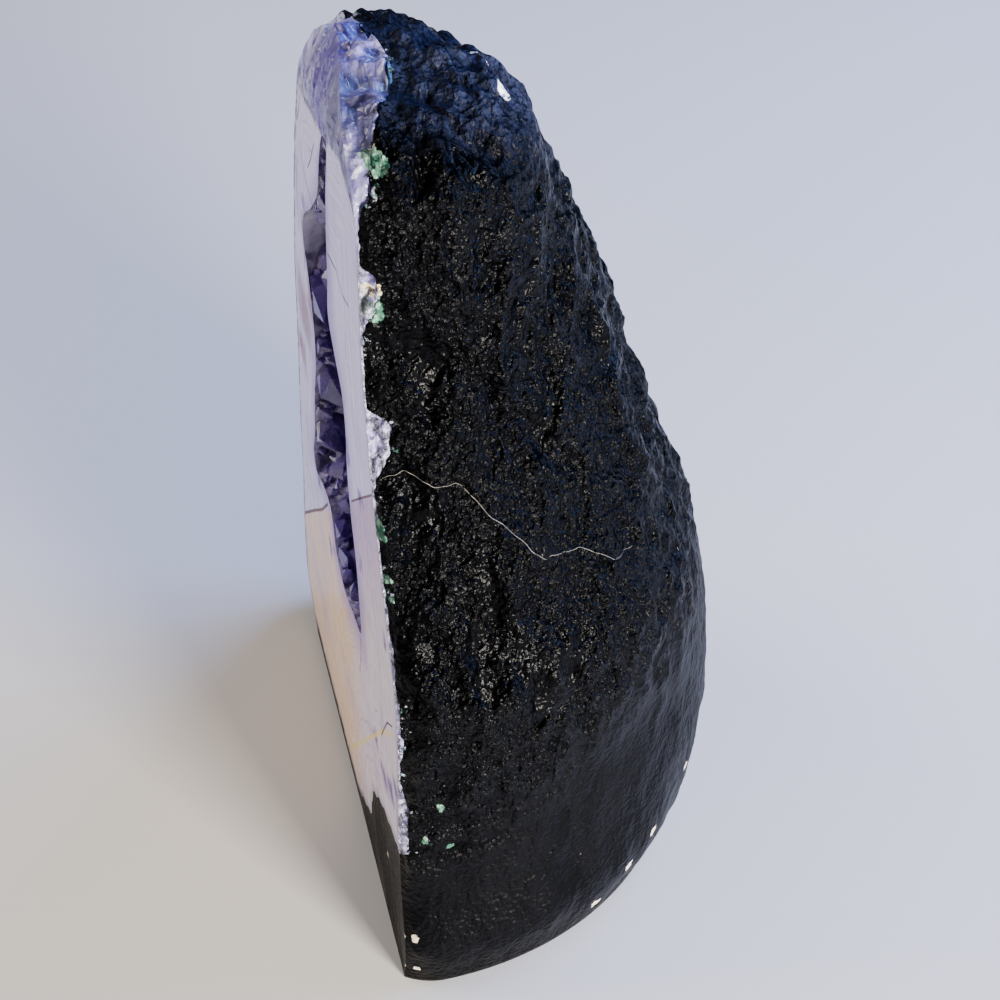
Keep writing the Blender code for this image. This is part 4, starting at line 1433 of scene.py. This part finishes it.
@dataclass
class PolishedFace:
    """The flat polished face round the mouth of the hollow."""

    shape: StoneShape
    noise: Lumps
    spacing: float = 0.0016
    clear_of_edges: float = 0.0008
    foot_points: int = 150
    line_step: float = 0.0012
    batch: int = 600
    browns: Spots = (
        (-0.050, 0.174, 0.016, 0.016), (-0.036, 0.188, 0.006, 0.010), (-0.060, 0.150, 0.010, 0.010),
    )
    seam: Pairs = (
        (-0.120, 0.022), (-0.086, 0.054), (-0.017, 0.119), (0.063, 0.196), (0.120, 0.250),
    )
    violets: Spots = (
        (0.049, 0.079, 0.005, 0.006), (0.062, 0.076, 0.008, 0.008), (0.072, 0.082, 0.006, 0.008),
        (0.080, 0.092, 0.005, 0.008), (0.0405, 0.1745, 0.0030, 0.0050),
        (0.0460, 0.1770, 0.0030, 0.0040), (0.0330, 0.1430, 0.0025, 0.0050),
        (0.0380, 0.1460, 0.0020, 0.0040), (-0.0245, 0.0940, 0.0040, 0.0060),
        (-0.0165, 0.0990, 0.0040, 0.0030), (0.0225, 0.1765, 0.0030, 0.0060),
        (0.0710, 0.1480, 0.0030, 0.0040), (-0.0420, 0.1080, 0.0040, 0.0030),
        (-0.0360, 0.2240, 0.0050, 0.0040),
    )
    lines: tuple[FaceLine, ...] = (
        FaceLine(((-0.0885, 0.0520), (-0.060, 0.079), (-0.040, 0.0975), (-0.026, 0.1125)),
                 0.0011, "seam"),
        FaceLine(((0.0255, 0.1600), (0.040, 0.174), (0.0615, 0.1945)), 0.0007, "seam"),
        FaceLine(((-0.007, 0.011), (0.0345, 0.0635), (0.063, 0.099), (0.0775, 0.1135)),
                 0.0016, "stripe"),
        FaceLine(((0.0068, 0.2360), (0.020, 0.240), (0.029, 0.238), (0.038, 0.241)),
                 0.0006, "crack"),
        FaceLine(((0.0290, 0.2225), (0.0292, 0.216)), 0.0005, "crack"),
        FaceLine(((0.0290, 0.1045), (0.027, 0.094), (0.024, 0.085)), 0.0005, "crack"),
        FaceLine(((0.060, 0.094), (0.066, 0.104), (0.071, 0.112), (0.079, 0.119)), 0.0006, "crack"),
        FaceLine(((-0.050, 0.205), (-0.049, 0.221), (-0.043, 0.236)), 0.0005, "crack"),
        FaceLine(((-0.064, 0.150), (-0.060, 0.166), (-0.061, 0.178)), 0.0005, "crack"),
        FaceLine(((-0.073, 0.078), (-0.070, 0.094)), 0.0005, "crack"),
        FaceLine(((-0.022, 0.246), (-0.016, 0.252), (-0.008, 0.262)), 0.0005, "crack"),
        FaceLine(((-0.036, 0.246), (-0.029, 0.238), (-0.020, 0.2365), (-0.014, 0.2350)),
                 0.0006, "crack"),
        FaceLine(((-0.0645, 0.0930), (-0.0620, 0.0830)), 0.0006, "crack"),
        FaceLine(((-0.0440, 0.1950), (-0.0400, 0.2050), (-0.0430, 0.2130)), 0.0005, "crack"),
        FaceLine(((-0.0380, 0.2520), (-0.0330, 0.2580), (-0.0290, 0.2650)), 0.0005, "crack"),
    )

    def outline(self, edge: np.ndarray) -> np.ndarray:
        """The face's closed outline (x, z): the broken edge, then back along the painted foot."""
        start, end = edge[-1], edge[0]
        x = np.linspace(start[0], end[0], self.foot_points)[1:-1]
        foot = np.stack([x, self.shape.foot(x)], axis=-1)
        return np.concatenate([edge, foot])

    @staticmethod
    def inside(places: np.ndarray, loop: np.ndarray) -> np.ndarray:
        """Whether each place lies in a closed loop, by how often a level ray crosses it."""
        start, end = loop, np.roll(loop, -1, 0)
        x, z = places[:, :1], places[:, 1:]
        spans = (start[:, 1] > z) != (end[:, 1] > z)
        height = np.where(end[:, 1] == start[:, 1], 1.0, end[:, 1] - start[:, 1])
        crossing = start[:, 0] + (z - start[:, 1]) * (end[:, 0] - start[:, 0]) / height
        return np.sum(spans & (x < crossing), axis=1) % 2 == 1

    def distance(self, places: np.ndarray, loop: np.ndarray) -> np.ndarray:
        """Distance from each place to the nearest point of a loop, a batch at a time."""
        parts = np.array_split(places, max(1, len(places) // self.batch))
        return np.concatenate([
            np.min(np.linalg.norm(part[:, None] - loop[None], axis=-1), axis=1) for part in parts
        ])

    def filling(self, outline: np.ndarray, mouth: np.ndarray) -> np.ndarray:
        """Evenly scattered places on the face, clear of its edges."""
        low, high = outline.min(0), outline.max(0)
        x, z = np.meshgrid(np.arange(low[0], high[0], self.spacing),
                           np.arange(low[1], high[1], self.spacing * 0.87))
        x = x + 0.5 * self.spacing * (np.arange(x.shape[0]) % 2)[:, None]
        places = np.stack([x.ravel(), z.ravel()], axis=-1)
        places = places[self.inside(places, outline) & ~self.inside(places, mouth)]
        loops = np.concatenate([outline, mouth])
        return places[self.distance(places, loops) > self.clear_of_edges]

    def side_rows(self, line: FaceLine) -> list[np.ndarray]:
        """The line's points and the points beside it at its half width."""
        middle = line.points(self.line_step)
        way = unit(np.gradient(middle, axis=0))
        beside = np.stack([-way[:, 1], way[:, 0]], axis=-1) * line.half_width
        return [middle, middle + beside, middle - beside]

    def build(self, edge: np.ndarray, mouth: np.ndarray) -> bpy.types.Object:
        """Make the piece from the broken edge's points and the mouth's points (x, z)."""
        outline = self.outline(edge)
        loops = [outline, mouth]
        chains = [row for line in self.lines for row in self.side_rows(line)]
        places = np.concatenate(loops + chains + [self.filling(outline, mouth)])
        edges: list[tuple[int, int]] = []
        first = 0
        for index, chain in enumerate(loops + chains):
            numbers = np.arange(first, first + len(chain))
            following = np.roll(numbers, -1)
            pairs = np.stack([numbers, following], axis=-1)
            edges += (pairs if index < len(loops) else pairs[:-1]).tolist()
            first += len(chain)
        result = delaunay_2d_cdt([Vector(place) for place in places], edges, [], 0, 1e-7)
        corners = np.array([tuple(place) for place in result[0]])
        faces = np.array(result[2])
        centre = corners[faces].mean(axis=1)
        keep = self.inside(centre, outline) & ~self.inside(centre, mouth)
        faces = faces[keep]
        side = corners[faces[:, 1]] - corners[faces[:, 0]]
        other = corners[faces[:, 2]] - corners[faces[:, 0]]
        clockwise = side[:, 0] * other[:, 1] - side[:, 1] * other[:, 0] < 0.0
        faces = np.where(clockwise[:, None], faces[:, ::-1], faces)
        work = Patchwork("quartz_polished_face")
        work.add(on_face(*corners.T), faces, self.values(corners, outline, mouth))
        return work.build(smooth=False)

    def values(self, places: np.ndarray, outline: np.ndarray,
               mouth: np.ndarray) -> dict[str, np.ndarray]:
        """Values for the material: distances from the rims, zones and thin lines."""
        from_rim = self.distance(places, outline)
        from_mouth = self.distance(places, mouth)
        under = np.interp(places[:, 0], *np.array(self.seam).T) - places[:, 1]
        values = {
            "rim": from_rim / np.maximum(1e-6, from_rim + from_mouth),
            "rim_distance": from_rim,
            "below_seam": smooth_step(-0.0008, 0.0012, under),
            "low": smooth_step(0.010, 0.060, under),
            "right_side": smooth_step(-0.005, 0.035, places[:, 0]),
        }
        for kind in ("violet", "brown", "seam", "stripe", "crack"):
            values[kind] = np.zeros(len(places))
        flat = on_face(*places.T)
        shift = [self.noise.at(flat + offset, 130.0) for offset in (0.2, 0.6)]
        warped = places + 0.0060 * np.stack(shift, axis=-1)
        for kind, spots in (("violet", self.violets), ("brown", self.browns)):
            for x, z, half_width, half_height in spots:
                size = np.array([half_width, half_height])
                away = np.linalg.norm((warped - np.array([x, z])) / size, axis=1)
                values[kind] = np.maximum(values[kind], np.exp(-away ** 2))
        for line in self.lines:
            values[line.kind] = np.maximum(values[line.kind], line.nearness(places))
        return values


@dataclass
class Druse:
    """The crust in the hollow: its wall, and the crystals that stand on it."""

    shape: StoneShape
    hollow: Hollow
    noise: Lumps
    columns: int = 420
    rows: int = 56
    seed: int = 7
    layers: tuple[tuple[int, float, float], ...] = (
        (170, 0.0052, 0.0078), (520, 0.0028, 0.0042), (2200, 0.0011, 0.0019),
    )
    crowding: float = 0.34
    sawn_at: float = 0.0004
    depth_room: float = 0.018
    on_back: float = 0.11
    round_step: float = 0.7548776662
    inward_step: float = 0.5698402909
    small_step: float = 0.004
    faces_right: float = 0.15
    smallest: float = 0.0006
    bare: Spots = (
        (-0.0400, 0.0040, 0.2100, 0.0058), (-0.0350, 0.0035, 0.2160, 0.0058),
        (-0.0290, 0.0030, 0.2235, 0.0052),
    )

    def build_wall(self, mouth: np.ndarray) -> bpy.types.Object:
        """The wall from the mouth to the back, closed there."""
        share = np.linspace(0.0, 1.0, self.rows)[:, None]
        shares = np.broadcast_to(share, (self.rows, self.columns))
        loops = np.broadcast_to(mouth[None], (self.rows, self.columns, 2))
        smooth = self.hollow.wall(loops, shares, self.shape)
        rough = 0.0011 * self.noise.at(smooth + 0.3, 150.0) + 0.0006 * self.noise.at(smooth, 420.0)
        inward = self.inward(loops, shares)
        wall = smooth + inward * (rough * smooth_step(0.0, 0.05, share))[..., None]
        work = Patchwork("druse_wall")
        work.add_grid(wall, {"inside": share, "bare": Patches.blobs(wall, self.bare)}, closed=True)
        back = np.stack([wall[-1], np.broadcast_to(wall[-1].mean(0), wall[-1].shape)])
        work.add_grid(back, {"inside": np.ones((2, 1)), "bare": np.zeros((2, 1))}, closed=True)
        return work.build()

    def inward(self, mouth: np.ndarray, share: np.ndarray) -> np.ndarray:
        """Directions off the wall into the hollow, across two small steps along the wall."""
        held = np.clip(share, self.small_step, 1.0 - self.small_step)
        here = self.hollow.wall(mouth, held, self.shape)
        deeper = self.hollow.wall(mouth, held + self.small_step, self.shape)
        beside = self.hollow.wall(np.roll(mouth, -1, axis=-2), held, self.shape)
        return unit(np.cross(deeper - here, beside - here))

    def sites(self, count: int, start: float,
              mouth: np.ndarray) -> tuple[np.ndarray, np.ndarray, np.ndarray]:
        """Evenly scattered sites on the wall, by two irrational steps round and into the hollow.

        Args:
            count: how many.
            start: where the scattering starts, so that the layers differ.
            mouth: the mouth's points (x, z).

        Returns:
            The sites, the directions off the wall, and the free half width beside each.
        """
        number = np.arange(count) + start
        turn = (number * self.round_step) % 1.0
        drawn = (number * self.inward_step) % 1.0
        area = np.minimum(1.0, drawn / (1.0 - self.on_back))
        share = 0.012 + 0.975 * (1.0 - np.sqrt(np.maximum(0.0, 1.0 - area * 0.985)))
        place = turn * len(mouth)
        part = (place - np.floor(place))[:, None]
        near, middle, far = (mouth[(np.floor(place).astype(int) + step) % len(mouth)]
                             for step in range(3))
        pair = np.stack([blended(near, middle, part), blended(middle, far, part)], axis=1)
        shares = np.stack([share, share], axis=1)
        site = self.hollow.wall(pair, shares, self.shape)[:, 0]
        inward = self.inward(pair, shares)[:, 0]
        back = self.hollow.wall(mouth, np.ones(len(mouth)), self.shape).mean(0)
        spread = np.sqrt(np.clip((1.0 - drawn) / self.on_back, 0.0, 1.0))[:, None]
        deepest = (drawn > 1.0 - self.on_back)[:, None]
        site = np.where(deepest, blended(back, site, spread), site)
        inward = np.where(deepest, np.array([0.0, -1.0, 0.0]), inward)
        free = np.linalg.norm(site[:, [0, 2]] - self.hollow.middle(site[:, 2]), axis=1)
        return site, inward, free + self.depth_room * np.maximum(0.0, -inward[:, 1])

    def crystals(self, site: np.ndarray, inward: np.ndarray, radius: np.ndarray,
                 dice: np.random.Generator) -> tuple[np.ndarray, np.ndarray]:
        """Six-sided points: a foot ring, a shoulder ring and a tip off the middle.

        Args:
            site: where each crystal stands.
            inward: the direction off the wall there.
            radius: each crystal's radius.
            dice: the source of chance.

        Returns:
            Points (crystals, 14, 3), and the height share of each of the 14.
        """
        count = len(site)
        axis = unit(inward + dice.normal(0.0, 0.26, (count, 3)))
        side = unit(np.cross(axis, dice.normal(size=(count, 3))))
        other = np.cross(axis, side)
        uneven = 1.0 + dice.uniform(-0.16, 0.16, (count, 6, 1))
        ring = (side[:, None] * np.cos(SIX_TURNS) + other[:, None] * np.sin(SIX_TURNS)) * uneven
        ring = ring * radius[:, None, None]
        shoulder = radius * dice.uniform(0.15, 0.95, count)
        slant = dice.uniform(-0.35, 0.35, (count, 6)) * radius[:, None]
        tip = shoulder + radius * dice.uniform(0.95, 1.30, count)
        base = site - axis * (0.9 * radius)[:, None]
        foot = site[:, None] + ring - axis[:, None] * (0.9 * radius)[:, None, None]
        upper = site[:, None] + ring * 0.94 + axis[:, None] * (shoulder[:, None] + slant)[..., None]
        lean = side * dice.uniform(-0.25, 0.25, (count, 1))
        lean = lean + other * dice.uniform(-0.25, 0.25, (count, 1))
        apex = site + axis * tip[:, None] + lean * radius[:, None]
        points = np.concatenate([foot, upper, apex[:, None], base[:, None]], axis=1)
        heights = np.concatenate([np.zeros(6), np.full(6, 0.55), [1.0], [0.0]])
        return points, heights

    @staticmethod
    def crystal_faces() -> np.ndarray:
        """Triangles of one crystal's 14 points: sides, tip and foot."""
        here = np.arange(6)
        following = (here + 1) % 6
        return np.concatenate([
            np.stack([here, following, following + 6], axis=-1),
            np.stack([here, following + 6, here + 6], axis=-1),
            np.stack([here + 6, following + 6, np.full(6, 12)], axis=-1),
            np.stack([following, here, np.full(6, 13)], axis=-1),
        ])

    def build_crystals(self, mouth: np.ndarray) -> bpy.types.Object:
        """All crystals as one piece, in layers from few large ones to many small ones."""
        dice = np.random.default_rng(self.seed)
        work = Patchwork("amethyst_crystals")
        for layer, (count, small, large) in enumerate(self.layers):
            site, inward, free = self.sites(count, 0.37 + 1000.0 * layer, mouth)
            radius = np.minimum(dice.uniform(small, large, count), self.crowding * free)
            points, heights = self.crystals(site, inward, radius, dice)
            clear = points[..., 1].min(axis=1) > self.sawn_at
            mostly = np.median(points[..., 1], axis=1) > self.sawn_at + 0.2 * radius
            fits = clear | (mostly & (inward[:, 0] > self.faces_right))
            fits &= (radius > self.smallest) & (Patches.blobs(site, self.bare) < 0.4)
            points = points[fits]
            points[..., 1] = np.maximum(points[..., 1], self.sawn_at)
            kept, corners = points.shape[:2]
            faces = self.crystal_faces()[None] + (np.arange(kept) * corners)[:, None, None]
            tint = dice.uniform(0.0, 1.0, (kept, 1))
            work.add(points, faces.reshape(-1, 3), {"height": heights, "tint": tint})
        return work.build(smooth=False, merge=False)


@dataclass
class PaleHair:
    """A fine pale root hair that lies on the paint."""

    shape: StoneShape
    relief: Relief
    noise: Lumps
    radius: float = 0.00006
    steps: int = 260
    path: tuple[tuple[float, float, float], ...] = (
        (0.0631, 0.0021, 0.2003), (0.0657, 0.0085, 0.2026), (0.0675, 0.0168, 0.1974),
        (0.0661, 0.0226, 0.1967), (0.0679, 0.0314, 0.1862), (0.0692, 0.0398, 0.1768),
        (0.0694, 0.0471, 0.1680), (0.0660, 0.0600, 0.1635), (0.0630, 0.0695, 0.1564),
        (0.0578, 0.0779, 0.1533),
    )

    def build(self) -> bpy.types.Object:
        """A thin tube along the path, laid on the skin."""
        knots = np.array(self.path)
        place = np.linspace(0.0, 1.0, len(knots))
        fine = np.linspace(0.0, 1.0, self.steps)
        y = SmoothTable(place, knots[:, 1]).at(fine)
        z = SmoothTable(place, knots[:, 2]).at(fine)
        z = z + 0.0004 * np.sin(fine * 61.0) * np.sin(fine * 23.0)
        near, far = self.shape.halved(z, y, np.zeros_like(z))
        smooth = self.shape.skin(z, 0.5 * (near + far))
        out = self.shape.outward(smooth)
        line = self.relief.moved(smooth, self.shape, self.noise) + out * self.radius
        way = unit(np.gradient(line, axis=0))
        beside = unit(np.cross(way, out))
        thin = 0.35 + 0.65 * np.maximum(0.0, np.sin(math.pi * fine)) ** 0.3
        ring = beside[:, None] * np.cos(SIX_TURNS) + out[:, None] * np.sin(SIX_TURNS)
        tube = line[:, None] + ring * (self.radius * thin)[:, None, None]
        work = Patchwork("pale_root_hair")
        work.add_grid(tube, {}, flip=True, closed=True)
        return work.build()


@dataclass(frozen=True)
class Lamp:
    """A square soft light: its place, the side of its square, its watts and its colour."""

    name: str
    place: tuple[float, float, float]
    size: float
    power: float
    colour: tuple[float, float, float]

    def build(self, target: Vector) -> None:
        """Make the light and turn it to the target."""
        data = bpy.data.lights.new(self.name, "AREA")
        data.shape = "SQUARE"
        data.size = self.size
        data.energy = self.power
        data.color = self.colour
        light = bpy.data.objects.new(self.name, data)
        bpy.context.scene.collection.objects.link(light)
        light.location = self.place
        light.rotation_euler = (target - Vector(self.place)).to_track_quat("-Z", "Y").to_euler()


@dataclass(frozen=True)
class Studio:
    """The floor, the soft lights and the camera at the photograph's viewing angle."""

    azimuth: float = 75.41
    elevation: float = 42.61
    roll: float = 0.82
    lens: float = 72.0
    sensor: float = 36.0
    camera_place: tuple[float, float, float] = (0.45983, -0.12865, 0.56038)
    floor_size: float = 6.0
    target: tuple[float, float, float] = (0.0, 0.0, 0.15)
    surroundings: Colour = (1.0, 0.98, 0.96, 1.0)
    surroundings_strength: float = 0.16
    lamps: tuple[Lamp, ...] = (
        Lamp("cool_sky", (0.05, 1.25, 0.62), 0.70, 40.0, (0.26, 0.42, 1.0)),
        Lamp("cool_top", (-0.40, 0.85, 1.30), 0.6, 20.0, (0.32, 0.48, 1.0)),
        Lamp("soft_front", (-0.55, -1.20, 0.90), 0.9, 17.0, (1.0, 0.95, 0.94)),
        Lamp("warm_side", (1.25, 0.50, 0.24), 0.42, 108.0, (1.0, 0.95, 0.88)),
    )

    def build_camera(self) -> None:
        """Place the camera: right, up and back are turned by azimuth, elevation and roll."""
        az, el, roll = (math.radians(angle) for angle in (self.azimuth, self.elevation, self.roll))
        back = Vector((math.sin(az) * math.cos(el), -math.cos(az) * math.cos(el), math.sin(el)))
        right = Vector((math.cos(az), math.sin(az), 0.0))
        up = back.cross(right)
        level_right = right * math.cos(roll) + up * math.sin(roll)
        level_up = up * math.cos(roll) - right * math.sin(roll)
        data = bpy.data.cameras.new("camera")
        data.lens = self.lens
        data.sensor_width = self.sensor
        data.clip_start = 0.01
        camera = bpy.data.objects.new("camera", data)
        bpy.context.scene.collection.objects.link(camera)
        turn = Matrix((level_right, level_up, back)).transposed().to_4x4()
        camera.matrix_world = Matrix.Translation(self.camera_place) @ turn
        bpy.context.scene.camera = camera

    def build_floor(self) -> None:
        """A large plain floor under the base."""
        half = 0.5 * self.floor_size
        mesh = bpy.data.meshes.new("floor")
        corners = [(-half, -half, 0.0), (half, -half, 0.0), (half, half, 0.0), (-half, half, 0.0)]
        mesh.from_pydata(corners, [], [(0, 1, 2, 3)])
        floor = bpy.data.objects.new("floor", mesh)
        bpy.context.scene.collection.objects.link(floor)
        mesh.materials.append(PaleFloor().build())
        floor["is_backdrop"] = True

    def build_lights(self) -> None:
        """Faint white light all round, cool lamps behind, one in front and a warm one beside."""
        world = bpy.data.worlds.new("studio")
        world.use_nodes = True
        background = world.node_tree.nodes["Background"]
        background.inputs["Color"].default_value = self.surroundings
        background.inputs["Strength"].default_value = self.surroundings_strength
        bpy.context.scene.world = world
        for lamp in self.lamps:
            lamp.build(Vector(self.target))


def dress(piece: bpy.types.Object, material: bpy.types.Material, slot: str, *nodes: str) -> None:
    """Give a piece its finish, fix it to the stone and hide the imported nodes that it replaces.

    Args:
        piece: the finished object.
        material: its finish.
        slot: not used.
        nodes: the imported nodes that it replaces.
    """
    piece.data.materials.append(material)
    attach(piece, BODY)
    if nodes:
        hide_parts(*nodes)
    LOG.info("%s: %d faces", piece.name, len(piece.data.polygons))


def main() -> None:
    """Build the geode from the outside in, then the studio."""
    logging.basicConfig(level=logging.INFO, format="%(name)s: %(message)s")
    shape = StoneShape()
    relief = Relief()
    noise = Lumps(23)
    hollow = Hollow()
    patches = Patches()
    rind = PaintedRind(shape, relief, patches, noise)
    dress(rind.build(), PaintedRock().build(), "black_painted_rock", "painted_rind")
    hair = PaleHair(shape, relief, noise)
    dress(hair.build(), HairFinish().build(), "black_painted_rock")
    edge_piece, edge = QuartzEdge(shape, relief, patches, noise).build()
    dress(edge_piece, BrokenQuartz().build(), "pale_quartz", "quartz_wall")
    druse = Druse(shape, hollow, noise)
    mouth = hollow.mouth_loop(druse.columns)
    face = PolishedFace(shape, noise)
    dress(face.build(edge, mouth), PolishedQuartz().build(), "pale_quartz", "quartz_wall")
    dress(druse.build_wall(mouth), DruseWall().build(), "amethyst_crystal", "amethyst_crust")
    crystals = druse.build_crystals(mouth)
    dress(crystals, ClearAmethyst().build(), "amethyst_crystal", "amethyst_crust")

    studio = Studio()
    studio.build_floor()
    studio.build_lights()
    studio.build_camera()
    boxes = {"cad": CAD_BOX, "visual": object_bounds()}
    {key: [list(corner) for corner in box] for key, box in boxes.items()}


if __name__ == "__main__":
    main()
